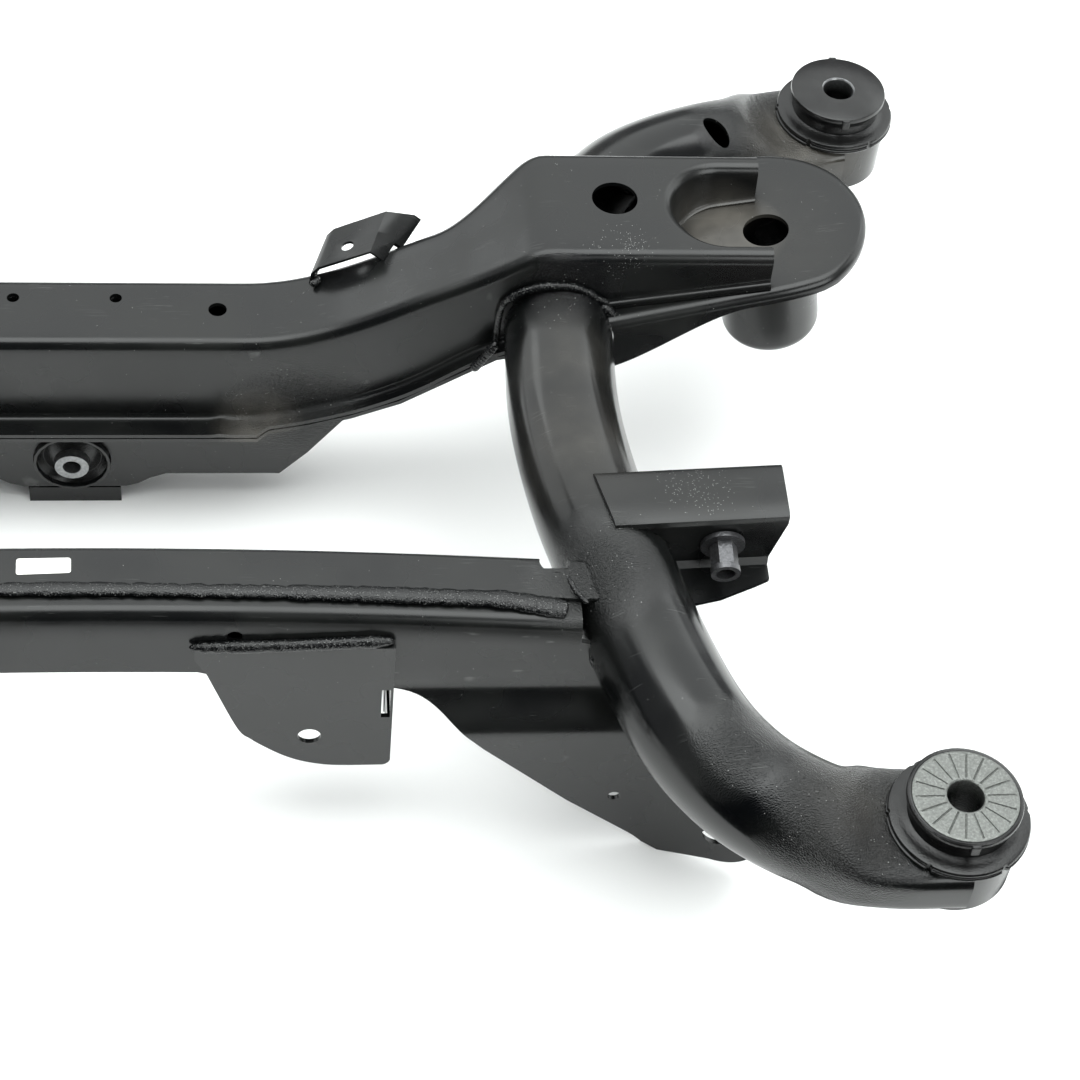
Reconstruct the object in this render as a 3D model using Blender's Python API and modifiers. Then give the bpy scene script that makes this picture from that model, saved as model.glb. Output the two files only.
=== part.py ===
"""Rear axle subframe of a car, pressed and tubular steel, with its rubber mounts.

Metres, +Z up, +X to the right, +Y to the rear. The origin lies on the floor under
the middle of the frame, which rests on its arm brackets and its rear beam.
"""
import math

import bmesh
import bpy
import numpy as np
from mathutils import Matrix, Vector

# Fits and sheet
FIT = 0.0003                    # gap between pieces that touch
SHEET = 0.003                   # pressed sheet of the two beams
PLATE = 0.003                   # brackets and ear plates
TUBE_WALL = 0.0028

# Layout of the four body mounts
FRONT_MOUNT_X = 0.510
REAR_MOUNT_X = 0.523
MOUNT_BASE = 0.583
FRONT_MOUNT_Y = -MOUNT_BASE / 2
REAR_MOUNT_Y = MOUNT_BASE / 2
MOUNT_FACE_Z = 0.218

# Body mount bushes
COLLAR_RADIUS = 0.0365
COLLAR_WALL = 0.003
COLLAR_TOP = MOUNT_FACE_Z - 0.024
COLLAR_BOTTOM = MOUNT_FACE_Z - 0.060
BUSH_SHELL_WALL = 0.002
BUSH_FACE_RADIUS = 0.0325
BUSH_FACE_THICKNESS = 0.005
BUSH_NECK_RADIUS = 0.0285
BUSH_FLANGE_RADIUS = 0.0405
BUSH_FLANGE_THICKNESS = 0.006
BUSH_CORE_RADIUS = 0.016
BUSH_BORE_RADIUS = 0.0103
BUSH_CORE_BELOW = 0.004
ROUND_STEPS = 20
SHARP_ANGLE = math.radians(50.0)

# Side tubes
TUBE_RADIUS = 0.035
TUBE_AXIS_Z = MOUNT_FACE_Z - 0.042
TUBE_FLAT_LENGTH = 0.050        # pressed quite flat from its end
TUBE_END_LENGTH = 0.095         # round again at this distance from its end
TUBE_END_PAST_MOUNT = 0.004
TUBE_SIDES = 18
TUBE_RINGS = 18                 # between the flattened ends
TUBE_HOLE_LENGTH = 0.0235       # oval hole on top of the rear arm
TUBE_HOLE_WIDTH = 0.0125
TUBE_HOLE_X = 0.4354
TUBE_HOLE_BACK = 0.0337         # in front of the rear mount
TUBE_HOLE_TURN = -50.0
# Plan route of a tube's axis. Its front bend is measured from the front mount: across, then back
FRONT_BEND = ((0.475, 0.0005), (0.443, 0.007), (0.411, 0.026), (0.388, 0.050), (0.370, 0.082),
              (0.354, 0.130), (0.339, 0.190))
# The run between the bends, its second value as a share of the way between them
STRAIGHT_RUN = ((0.325, 0.34), (0.317, 0.69))
# Its rear bend is measured forward from the rear mount
REAR_BEND = ((0.317, 0.218), (0.322, 0.155), (0.337, 0.099), (0.374, 0.051), (0.424, 0.024),
             (0.480, 0.010))

# Rear beam, upper shell
REAR_BEAM_BACK = 0.186          # front face of the beam, in front of the rear mount
REAR_FRONT_Y = REAR_MOUNT_Y - REAR_BEAM_BACK
REAR_DEPTH_MIDDLE = 0.061
REAR_DEPTH_EAR = 0.098
EAR_TOP_Z = MOUNT_FACE_Z + 0.020
EAR_END_X = 0.452
REAR_RISE = 0.082               # the ears stand this far above the middle
REAR_TOP_Z = EAR_TOP_Z - REAR_RISE
REAR_FOLD_RADIUS = 0.008
REAR_WALL_HEIGHT = 0.0655
FLANGE_WIDTH = 0.0165
FLANGE_STEP_X = 0.124           # the flange is narrower outside this place
FLANGE_STEP = 0.007             # length of that step
FLANGE_NARROW = 0.0100
FLANGE_END_X = 0.290            # from here it narrows to the ear's lip
FLANGE_CLEAR = 0.0010           # between the two shells' flanges, where their slope changes
EAR_LIP_WIDTH = 0.004
EAR_LIP_CLEAR = 0.0005          # under the ear's lip, where the sheet's slope changes
# How far the foot of the walls has climbed at distances from the middle
FOOT_CLIMB = ((0.000, 0.0), (0.128, 0.0), (0.162, 0.008), (0.196, 0.020), (0.227, 0.036),
              (0.257, 0.059), (0.278, 0.073))
RISE_START_X = 0.118
RISE_END_X = 0.302

# Ear plates, their bowls and cups
EAR_PLATE_START_X = 0.340
EAR_PLATE_SLOPE = 0.18          # rise of the plate towards the outside
EAR_PLATE_DROP = 0.026          # below the ear's top, at the ear's end
LOBE_X = 0.453
LOBE_BACK = 0.129               # centre of the lobe, in front of the rear mount
LOBE_Y = REAR_MOUNT_Y - LOBE_BACK
LOBE_RADIUS = 0.069
LOBE_RIM = 0.009
EAR_SKIRT = 0.042
EAR_BEND = 0.005
EAR_MARGIN = 0.021              # strip of plate in front of the shell
EAR_HOLE_RADIUS = 0.0148
EAR_HOLE_X = 0.354
EAR_HOLE_BACK = 0.053           # behind the beam's front face
EAR_HOLE_Y = REAR_FRONT_Y + EAR_HOLE_BACK
CUP_X = 0.456
CUP_FORWARD = 0.006             # in front of the lobe's centre
CUP_RADIUS = 0.0325
CUP_HEIGHT = 0.083
CUP_WALL = 0.003
CUP_CORNER = 0.010
CUP_DRAIN_RADIUS = 0.006
BOWL_START_X = 0.384
BOWL_HALF_WIDTH = 0.041
BOWL_LIP_RADIUS = 0.010
BOWL_STEPS = 12
BOWL_LAP = 0.004                # how far the bowl's wall is set into the ear's sheet
BOWL_SKIN = 0.00025             # kept from the faces of that sheet

# Rear beam, lower shell with the differential mount
TROUGH_INSET = 0.001            # wall of the trough behind the shell's front wall
TROUGH_BACK_INSET = 0.004
TROUGH_HALF_LENGTH = 0.138
TROUGH_END_X = 0.195
TROUGH_FLOOR_Z = MOUNT_FACE_Z - 0.193
BELLY_HALF_LENGTH = 0.034
BELLY_END_X = 0.062
BELLY_FLOOR_Z = 0.012
LOWER_END_X = 0.300
REST_TAB_LENGTH = 0.062         # the frame rests on these tabs and on its arm brackets
REST_TAB_HEIGHT = 0.014
DIFF_BUSH_RADIUS = 0.0257
DIFF_SHELL_WALL = 0.002
DIFF_CORE_RADIUS = 0.0115
DIFF_BORE_RADIUS = 0.006
DIFF_BUSH_RISE = 0.0053         # lowest point of the bush above the belly's floor
DIFF_PROUD = 0.004
TAPPED_HOLE_RADIUS = 0.004
TAPPED_HOLE_X = 0.033
PLAIN_HOLE_RADIUS = 0.006
PLAIN_HOLE_X = 0.099
WELD_NUT_RADIUS = 0.0085
WELD_NUT_HEIGHT = 0.008

# Front beam
FRONT_WALL_Y = FRONT_MOUNT_Y + 0.130
FRONT_DEPTH = 0.0535
FRONT_END_TOP_Z = MOUNT_FACE_Z - 0.017
FRONT_CROWN = 0.014
FRONT_CROWN_X = 0.310
FRONT_FOLD_RADIUS = 0.014
FRONT_CAP_FOLD = 0.006
FRONT_CAP_LAP = 0.022           # the cap's front edge behind the front wall
FRONT_LAP_WIDTH = 0.020
FRONT_HEIGHT = 0.052
FRONT_CAP_END_X = 0.335
FRONT_FLOOR_END_X = 0.304
CAP_NOTCH_RADIUS = 0.009
CAP_NOTCH_X = 0.298
FOLD_END_X = 0.312
WALL_HOLE_RADIUS = 0.0045
WALL_HOLE_X = 0.112

# Arm brackets pressed in one with the front wall
WING_STEP = 0.017               # the wing stands this far in front of the wall
WING_STEP_TOP = MOUNT_FACE_Z - 0.077
WING_STEP_HEIGHT = 0.014
WING_BEND_X = 0.362
WING_BEND_SLOPE = 0.41
WING_END_X = 0.427
ARM_HOLE_RADIUS = 0.007
ARM_HOLE_X = 0.405
ARM_HOLE_Z = MOUNT_FACE_Z - 0.185
ARM_EYE_RADIUS = 0.025
WING_DRAIN_RADIUS = 0.004
WING_DRAIN_X = 0.342
WING_DRAIN_Z = MOUNT_FACE_Z - 0.164
ARM_GAP = 0.052                 # room for the arm's bush between its two leaves

# Link brackets under the front beam
LINK_LEFT_X = 0.089
LINK_RIGHT_X = 0.204
LINK_TOP_Z = MOUNT_FACE_Z - 0.030
LINK_HEIGHT = 0.117
LINK_HOLE_X = 0.155
LINK_HOLE_BELOW = 0.086
LINK_HOLE_RADIUS = 0.007
LINK_SIDE_FLANGE = 0.022

# Outrigger brackets on the tubes
OUTRIGGER_Y = FRONT_MOUNT_Y + 0.224
OUTRIGGER_WIDTH = 0.044
OUTRIGGER_END_X = 0.440
OUTRIGGER_HEIGHT = 0.048
OUTRIGGER_LEAN = 0.15
OUTRIGGER_SKEW = 0.06           # turn of the bracket in plan
OUTRIGGER_END_SLANT = 0.007
OUTRIGGER_FLANGE = 0.040
OUTRIGGER_LIP = 0.016           # width of the foot flange at its outer end
NUT_X = 0.402
NUT_BELOW = 0.024
NUT_FLANGE_RADIUS = 0.0135
NUT_HEX_RADIUS = 0.0085
NUT_LENGTH = 0.016
NUT_TIP_RADIUS = 0.009
NUT_TIP_LENGTH = 0.003
NUT_FLANGE_THICKNESS = 0.003
NUT_BORE_RADIUS = 0.0058

# Clip tabs on the rear beam's back edge
CLIP_LEFT_X = 0.162
CLIP_WIDTH = 0.036
CLIP_BACK = 0.049               # behind the beam's front face
CLIP_FRONT_Y = REAR_FRONT_Y + CLIP_BACK
CLIP_DEPTH = 0.032
CLIP_LIFT = 0.013
CLIP_SHEET = 0.002
CLIP_SKEW = 0.011               # the tab leans to the outside towards its back edge
CLIP_LEG = 0.009
CLIP_FLARE = 0.010              # the outer leg spreads this much more at the back
CLIP_HOLE_RADIUS = 0.004

COLLECTION = "subframe"
CUTTERS = "cutters"


def clear_scene():
    """Empty the scene and make the two collections."""
    for item in list(bpy.data.objects):
        bpy.data.objects.remove(item, do_unlink=True)
    for name in (COLLECTION, CUTTERS):
        group = bpy.data.collections.new(name)
        bpy.context.scene.collection.children.link(group)


def material(name, colour, roughness, metallic):
    """A Principled material, made once and then reused."""
    if name in bpy.data.materials:
        return bpy.data.materials[name]
    made = bpy.data.materials.new(name)
    made.use_nodes = True
    shader = made.node_tree.nodes["Principled BSDF"]
    shader.inputs["Base Color"].default_value = (*colour, 1.0)
    shader.inputs["Roughness"].default_value = roughness
    shader.inputs["Metallic"].default_value = metallic
    return made


def finish_of(name):
    """Material of a node, from the words in its name."""
    if "rubber" in name:
        return material("rubber_black_" + name, (0.02, 0.02, 0.02), 0.6, 0.0)
    if "core" in name or "nut" in name:
        return material("zinc_steel_" + name, (0.35, 0.36, 0.37), 0.4, 1.0)
    if "collar" in name or "bush_shell" in name:
        return material("grey_steel_" + name, (0.12, 0.12, 0.13), 0.4, 0.6)
    return material("black_coat_" + name, (0.03, 0.03, 0.032), 0.35, 0.2)


def add_object(name, mesh, group=COLLECTION):
    """Link a mesh as an object; cutters are drawn as wires and left out of the part."""
    item = bpy.data.objects.new(name, mesh)
    bpy.data.collections[group].objects.link(item)
    if group == CUTTERS:
        item.hide_render = True
        item.display_type = "WIRE"
    else:
        item.data.materials.append(finish_of(name))
    return item


def mesh_of(name, points, faces, edges=()):
    """A mesh from points and faces or edges."""
    mesh = bpy.data.meshes.new(name)
    mesh.from_pydata([tuple(p) for p in points], list(edges), list(faces))
    mesh.update()
    return mesh


def loft(name, rings, closed, group=COLLECTION):
    """Faces between rings of equal length; closed lofts join the last ring to the first."""
    count = len(rings[0])
    points = [p for ring in rings for p in ring]
    faces = []
    spans = len(rings) if closed else len(rings) - 1
    for i in range(spans):
        first = i * count
        second = ((i + 1) % len(rings)) * count
        for j in range(count):
            k = (j + 1) % count
            faces.append((first + j, first + k, second + k, second + j))
    if not closed:
        faces.append(tuple(reversed(range(count))))
        faces.append(tuple((len(rings) - 1) * count + j for j in range(count)))
    mesh = mesh_of(name, points, faces)
    point_out(mesh)
    return add_object(name, mesh, group)


def point_out(mesh):
    """Turn every face of a closed mesh outwards."""
    work = bmesh.new()
    work.from_mesh(mesh)
    bmesh.ops.recalc_face_normals(work, faces=work.faces)
    work.to_mesh(mesh)
    work.free()


def shade_round(mesh):
    """Smooth shading, with edges kept sharp where faces meet steeply."""
    mesh.shade_smooth()
    mesh.set_sharp_from_angle(angle=SHARP_ANGLE)


def pressed_sheet(name, rows, thickness, inward=True):
    """A sheet over a grid of points, given its thickness by Solidify."""
    count = len(rows[0])
    points = [p for row in rows for p in row]
    faces = []
    for i in range(len(rows) - 1):
        for j in range(count - 1):
            a = i * count + j
            faces.append((a, a + count, a + count + 1, a + 1))
    mesh = mesh_of(name, points, faces)
    shade_round(mesh)
    item = add_object(name, mesh)
    wall = item.modifiers.new("wall", "SOLIDIFY")
    wall.thickness = thickness
    wall.offset = -1.0 if inward else 1.0
    wall.use_even_offset = True
    return item


def turned(name, profile, centre, axis="Z", group=COLLECTION, steps=ROUND_STEPS):
    """A closed profile of radius and height, turned about an axis through the centre."""
    points = [(r, 0.0, h) for r, h in profile]
    edges = [(i, (i + 1) % len(points)) for i in range(len(points))]
    item = add_object(name, mesh_of(name, points, (), edges), group)
    screw = item.modifiers.new("turn", "SCREW")
    screw.axis = "Z"
    screw.angle = 2 * math.pi
    screw.steps = steps
    screw.render_steps = steps
    screw.use_merge_vertices = True
    screw.merge_threshold = 0.00001
    mesh = baked_mesh(item)
    mesh.name = name
    shade_round(mesh)
    item.modifiers.remove(screw)
    item.data = mesh
    item.location = centre
    if axis == "Y":
        item.rotation_euler = (math.pi / 2, 0.0, 0.0)
    return item


def tube_profile(outer, inner, top, bottom):
    """Profile of a plain ring, down its outer side and up its inner side."""
    return ((outer, top), (outer, bottom), (inner, bottom), (inner, top))


def cylinder(name, radius, length, centre, axis="Z", sides=24):
    """A round cutter along an axis."""
    work = bmesh.new()
    turn = {"X": Matrix.Rotation(math.pi / 2, 4, "Y"),
            "Y": Matrix.Rotation(math.pi / 2, 4, "X"),
            "Z": Matrix.Identity(4)}[axis]
    bmesh.ops.create_cone(work, cap_ends=True, segments=sides, radius1=radius, radius2=radius,
                          depth=length, matrix=Matrix.Translation(centre) @ turn)
    mesh = bpy.data.meshes.new(name)
    work.to_mesh(mesh)
    work.free()
    return add_object(name, mesh, CUTTERS)


def box(name, low, high, group=CUTTERS):
    """A box between two corners."""
    low, high = Vector(low), Vector(high)
    work = bmesh.new()
    bmesh.ops.create_cube(work, size=1.0)
    bmesh.ops.scale(work, vec=high - low, verts=work.verts)
    bmesh.ops.translate(work, vec=(high + low) / 2, verts=work.verts)
    mesh = bpy.data.meshes.new(name)
    work.to_mesh(mesh)
    work.free()
    return add_object(name, mesh, group)


def prism(name, outline, low, high, axis, group=CUTTERS):
    """A flat outline made solid between two levels of an axis; the outline is in the other two."""
    curve = bpy.data.curves.new(name, "CURVE")
    curve.dimensions = "2D"
    curve.fill_mode = "BOTH"
    curve.extrude = (high - low) / 2
    spline = curve.splines.new("POLY")
    spline.points.add(len(outline) - 1)
    for point, place in zip(spline.points, outline):
        point.co = (place[0], place[1], 0.0, 1.0)
    spline.use_cyclic_u = True
    flat = bpy.data.objects.new(name, curve)
    bpy.data.collections[group].objects.link(flat)
    middle = (low + high) / 2
    if axis == "Y":
        flat.matrix_world = Matrix.Translation((0.0, middle, 0.0)) @ Matrix.Rotation(math.pi / 2, 4, "X")
    else:
        flat.matrix_world = Matrix.Translation((0.0, 0.0, middle))
    mesh = baked_mesh(flat)
    bpy.data.objects.remove(flat, do_unlink=True)
    mesh.name = name
    mesh.materials.clear()
    work = bmesh.new()
    work.from_mesh(mesh)
    bmesh.ops.remove_doubles(work, verts=work.verts, dist=0.00001)
    bmesh.ops.recalc_face_normals(work, faces=work.faces)
    work.to_mesh(mesh)
    work.free()
    return add_object(name, mesh, group)


def combine(item, other, operation="DIFFERENCE"):
    """Boolean with an exact solver."""
    step = item.modifiers.new(operation.lower() + "_" + other.name, "BOOLEAN")
    step.operation = operation
    step.object = other
    step.solver = "EXACT"
    return item


def baked_mesh(item):
    """The evaluated mesh of an object, in world space."""
    bpy.context.view_layer.update()
    graph = bpy.context.evaluated_depsgraph_get()
    mesh = bpy.data.meshes.new_from_object(item.evaluated_get(graph))
    mesh.transform(item.matrix_world)
    return mesh


def mirrored(item, name, group=COLLECTION):
    """The same piece for the left side."""
    mesh = baked_mesh(item)
    mesh.transform(Matrix.Scale(-1.0, 4, (1.0, 0.0, 0.0)))
    mesh.flip_normals()
    mesh.name = name
    mesh.materials.clear()
    return add_object(name, mesh, group)


def both_sides(item):
    """Name the right piece and add the left one."""
    name = item.name
    item.name = name + "_right"
    return mirrored(item, name + "_left")


def smooth_curve(points, count, close=()):
    """Points along a smooth curve through the given points, evenly spaced, with closer ones near its ends."""
    given = np.array(points, float)
    padded = np.vstack([2 * given[0] - given[1], given, 2 * given[-1] - given[-2]])
    fine = []
    for i in range(len(given) - 1):
        a, b, c, d = padded[i:i + 4]
        for t in np.linspace(0.0, 1.0, 12, endpoint=False):
            fine.append(0.5 * (2 * b + (c - a) * t + (2 * a - 5 * b + 4 * c - d) * t ** 2
                               + (3 * b - a - 3 * c + d) * t ** 3))
    fine.append(given[-1])
    fine = np.array(fine)
    length = np.concatenate([[0.0], np.cumsum(np.linalg.norm(np.diff(fine, axis=0), axis=1))])
    start = close[-1] if close else 0.0
    wanted = np.linspace(start, length[-1] - start, count)
    wanted = [*close[:-1], *wanted, *(length[-1] - place for place in reversed(close[:-1]))]
    return np.stack([np.interp(wanted, length, fine[:, k]) for k in range(given.shape[1])], 1)


def ease(value, start, end):
    """Smooth step from 0 at the start to 1 at the end."""
    t = min(max((value - start) / (end - start), 0.0), 1.0)
    return t * t * (3.0 - 2.0 * t)


def arc(centre, radius, start, end, steps):
    """Points on an arc, angles in degrees."""
    angles = np.radians(np.linspace(start, end, steps + 1))
    return [(centre[0] + radius * math.cos(a), centre[1] + radius * math.sin(a)) for a in angles]


def tube_axis():
    """The right tube's axis in plan, from the front mount to the rear mount."""
    front = [(x, FRONT_MOUNT_Y + y) for x, y in FRONT_BEND]
    rear = [(x, REAR_MOUNT_Y - y) for x, y in REAR_BEND]
    run = rear[0][1] - front[-1][1]
    route = front + [(x, front[-1][1] + share * run) for x, share in STRAIGHT_RUN] + rear
    ends = [(FRONT_MOUNT_X + TUBE_END_PAST_MOUNT, FRONT_MOUNT_Y)], \
           [(REAR_MOUNT_X + TUBE_END_PAST_MOUNT, REAR_MOUNT_Y)]
    close = (0.0, TUBE_FLAT_LENGTH, (TUBE_FLAT_LENGTH * 2 + TUBE_END_LENGTH) / 3,
             (TUBE_FLAT_LENGTH + TUBE_END_LENGTH * 2) / 3, TUBE_END_LENGTH)
    return smooth_curve(ends[0] + route + ends[1], TUBE_RINGS, close)


def tube_rings(grow):
    """Sections of the tube: round along the middle, pressed flat and wide at the ends."""
    axis = tube_axis()
    steps = np.linalg.norm(np.diff(axis, axis=0), axis=1)
    run = np.concatenate([[0.0], np.cumsum(steps)])
    end_width = COLLAR_RADIUS + FIT + TUBE_WALL
    end_height = (COLLAR_TOP - COLLAR_BOTTOM) / 2
    end_axis_z = (COLLAR_TOP + COLLAR_BOTTOM) / 2
    heading = np.gradient(axis, axis=0)
    heading /= np.linalg.norm(heading, axis=1)[:, None]
    heading[0] = (-1.0, 0.0)
    heading[-1] = (1.0, 0.0)
    rings = []
    for centre, ahead, here in zip(axis, heading, run):
        from_end = min(here, run[-1] - here)
        flat = 1.0 - ease(from_end, TUBE_FLAT_LENGTH, TUBE_END_LENGTH)
        half_width = TUBE_RADIUS + (end_width - TUBE_RADIUS) * flat + grow
        half_height = TUBE_RADIUS + (end_height - TUBE_RADIUS) * flat + grow
        power = 2.0 / (2.0 + 3.0 * flat)
        level = TUBE_AXIS_Z + (end_axis_z - TUBE_AXIS_Z) * flat
        side = Vector((ahead[1], -ahead[0]))
        ring = []
        for k in range(TUBE_SIDES):
            angle = 2 * math.pi * (k + 0.5) / TUBE_SIDES
            c, s = math.cos(angle), math.sin(angle)
            across = half_width * math.copysign(abs(c) ** power, c)
            up = half_height * math.copysign(abs(s) ** power, s)
            ring.append((centre[0] + side.x * across, centre[1] + side.y * across, level + up))
        rings.append(ring)
    return rings


def tube_cutters():
    """Right and left cutters that leave a fit round the tubes."""
    right = loft("tube_cutter_right", tube_rings(FIT), False, CUTTERS)
    return right, mirrored(right, "tube_cutter_left", CUTTERS)


def make_side_tubes():
    """Bent tubes, one at each side, whose flattened ends clasp the mount collars."""
    outer = tube_rings(0.0)
    inner = tube_rings(-TUBE_WALL)
    count = TUBE_SIDES
    points = [p for ring in outer + inner for p in ring]
    faces = []
    for layer in (0, 1):
        base = layer * len(outer) * count
        for i in range(len(outer) - 1):
            for j in range(count):
                k = (j + 1) % count
                a, b = base + i * count, base + (i + 1) * count
                faces.append((a + j, a + k, b + k, b + j))
    for i in (0, len(outer) - 1):
        a, b = i * count, (len(outer) + i) * count
        for j in range(count):
            k = (j + 1) % count
            faces.append((a + j, a + k, b + k, b + j))
    mesh = mesh_of("side_tube", points, faces)
    point_out(mesh)
    shade_round(mesh)
    tube = add_object("side_tube", mesh)
    span = COLLAR_TOP - COLLAR_BOTTOM + 0.02
    for name, x, y in (("front", FRONT_MOUNT_X, FRONT_MOUNT_Y), ("rear", REAR_MOUNT_X, REAR_MOUNT_Y)):
        seat = cylinder("collar_seat_" + name, COLLAR_RADIUS + FIT, span,
                        (x, y, (COLLAR_TOP + COLLAR_BOTTOM) / 2), sides=40)
        combine(tube, seat)
    turn = math.radians(TUBE_HOLE_TURN)
    oval = []
    for a in np.linspace(0.0, 2 * math.pi, ROUND_STEPS, endpoint=False):
        along = TUBE_HOLE_LENGTH / 2 * math.cos(a)
        across = TUBE_HOLE_WIDTH / 2 * math.sin(a)
        oval.append((TUBE_HOLE_X + along * math.cos(turn) - across * math.sin(turn),
                     REAR_MOUNT_Y - TUBE_HOLE_BACK + along * math.sin(turn) + across * math.cos(turn)))
    combine(tube, prism("tube_hole_cutter", oval, TUBE_AXIS_Z, TUBE_AXIS_Z + 2 * TUBE_RADIUS, "Z"))
    both_sides(tube)


def make_mount(which, x, y):
    """Collar, bush shell, rubber and core of one body mount, and their left twins."""
    top = COLLAR_TOP
    bottom = COLLAR_BOTTOM
    face = MOUNT_FACE_Z
    shell_outer = COLLAR_RADIUS - COLLAR_WALL - FIT
    shell_inner = shell_outer - BUSH_SHELL_WALL
    rubber_outer = shell_inner - FIT
    rubber_inner = BUSH_CORE_RADIUS + FIT
    flange_bottom = top + FIT
    flange_top = flange_bottom + BUSH_FLANGE_THICKNESS
    face_under = face - BUSH_FACE_THICKNESS
    centre = (x, y, 0.0)
    both_sides(turned(which + "_collar",
                      tube_profile(COLLAR_RADIUS, COLLAR_RADIUS - COLLAR_WALL, top, bottom), centre))
    both_sides(turned(which + "_bush_shell",
                      tube_profile(shell_outer, shell_inner, top - FIT, bottom), centre))
    waist = (rubber_outer + rubber_inner) / 2
    rubber = ((BUSH_NECK_RADIUS, face_under - FIT), (BUSH_NECK_RADIUS, flange_top),
              (BUSH_FLANGE_RADIUS - 0.0015, flange_top),
              (BUSH_FLANGE_RADIUS, flange_top - 0.0015), (BUSH_FLANGE_RADIUS, flange_bottom),
              (rubber_outer, flange_bottom), (rubber_outer, bottom + 0.002),
              (waist, bottom + 0.010), (rubber_inner, bottom + 0.002),
              (rubber_inner, face_under - FIT))
    both_sides(turned(which + "_bush_rubber", rubber, centre))
    core = ((BUSH_FACE_RADIUS - 0.001, face), (BUSH_FACE_RADIUS, face - 0.001),
            (BUSH_FACE_RADIUS, face_under), (BUSH_CORE_RADIUS, face_under),
            (BUSH_CORE_RADIUS, bottom - BUSH_CORE_BELOW), (BUSH_BORE_RADIUS, bottom - BUSH_CORE_BELOW),
            (BUSH_BORE_RADIUS, face - 0.001), (BUSH_BORE_RADIUS + 0.001, face))
    both_sides(turned(which + "_bush_core", core, centre))


def rear_top_z(x):
    """Height of the rear beam's top along the car's width."""
    lift = smooth_rise(abs(x))
    return REAR_TOP_Z + REAR_RISE * lift


def rear_skin_z(x):
    """Height of the shell's top as built, straight between its stations."""
    places = [place for place in rear_stations() if place >= 0.0]
    return float(np.interp(abs(x), places, [rear_top_z(place) for place in places]))


def smooth_rise(x):
    """Share of the rise at a distance from the middle: a soft start and a firm end bend."""
    t = min(max((x - RISE_START_X) / (RISE_END_X - RISE_START_X), 0.0), 1.0)
    slow = t * t * (1.9 - 0.9 * t)
    return slow - 0.10 * ease(t, 0.55, 1.0) * (1.0 - t) * 4.0 * t


def ear_plate_z(x):
    """Top face of the sloping ear plate."""
    return EAR_TOP_Z - EAR_PLATE_DROP + EAR_PLATE_SLOPE * (abs(x) - EAR_END_X)


def rear_wall_foot_z(x):
    """Foot of the rear beam's walls: the flange in the middle, the ear plate at the ends."""
    middle = REAR_TOP_Z - REAR_WALL_HEIGHT
    ear = ear_plate_z(x) + FIT + 2 * SHEET + EAR_LIP_CLEAR
    far = [place for place, climb in FOOT_CLIMB]
    climbed = np.interp(abs(x), far, [climb for place, climb in FOOT_CLIMB])
    return middle + climbed + (ear - middle - climbed) * ease(abs(x), far[-1], EAR_PLATE_START_X)


def rear_depth(x):
    """Depth of the rear beam, which grows towards its ears."""
    return REAR_DEPTH_MIDDLE + (REAR_DEPTH_EAR - REAR_DEPTH_MIDDLE) * ease(abs(x), 0.240, 0.312)


def flange_width(x):
    """Width of the foot flange: wide in the middle, narrow on the climb and on the ear plate."""
    wide = FLANGE_WIDTH + (FLANGE_NARROW - FLANGE_WIDTH) * ease(abs(x), FLANGE_STEP_X, FLANGE_STEP_X + FLANGE_STEP)
    return wide + (EAR_LIP_WIDTH - wide) * ease(abs(x), FLANGE_END_X, EAR_PLATE_START_X)


def both_ways(places, nearest=0.003):
    """Stations from left to right through the given right-hand ones, in order and not too near each other."""
    half = [0.0]
    for place in sorted(places):
        if place - half[-1] > nearest:
            half.append(place)
    return [-x for x in reversed(half[1:])] + half


def rear_stations():
    """Stations across the car, closer together where the beam bends."""
    climb = [RISE_START_X + (FOOT_CLIMB[-1][0] - RISE_START_X) * share for share in (0.24, 0.42, 0.62, 0.82, 1.0)]
    ear = [FLANGE_END_X, (FLANGE_END_X + RISE_END_X) / 2 + 0.004, RISE_END_X + 0.008,
           (RISE_END_X + EAR_END_X) / 2 - 0.049, EAR_HOLE_X, EAR_END_X]
    step = [FLANGE_STEP_X, FLANGE_STEP_X + FLANGE_STEP]
    return both_ways([RISE_START_X / 2] + step + climb + ear)


def rear_section(x):
    """Section of the upper shell at a station, from the front flange to the rear one."""
    front = REAR_FRONT_Y
    back = front + rear_depth(x)
    top = rear_top_z(x)
    foot = rear_wall_foot_z(x)
    lip = flange_width(x)
    r = REAR_FOLD_RADIUS
    section = [(front - lip, foot - SHEET), (front - 0.003, foot - SHEET), (front, foot)]
    section += [(front + r + r * math.cos(a), top - r + r * math.sin(a))
                for a in np.radians((180.0, 135.0, 90.0))]
    section += [(back - r + r * math.cos(a), top - r + r * math.sin(a))
                for a in np.radians((90.0, 45.0, 0.0))]
    section += [(back, foot), (back + 0.003, foot - SHEET), (back + lip, foot - SHEET)]
    return [(x, y, z) for y, z in section]


def bowl_path(steps):
    """Plan of the bowl's upper edge: out along the front, round, and back along the rear."""
    middle_y = REAR_FRONT_Y + REAR_DEPTH_EAR / 2
    centre = (BOWL_START_X + BOWL_HALF_WIDTH, middle_y)
    end = EAR_END_X + 0.010
    path = [(end, middle_y - BOWL_HALF_WIDTH)]
    path += arc(centre, BOWL_HALF_WIDTH, 270.0, 90.0, steps)
    path.append((end, middle_y + BOWL_HALF_WIDTH))
    return path


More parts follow.
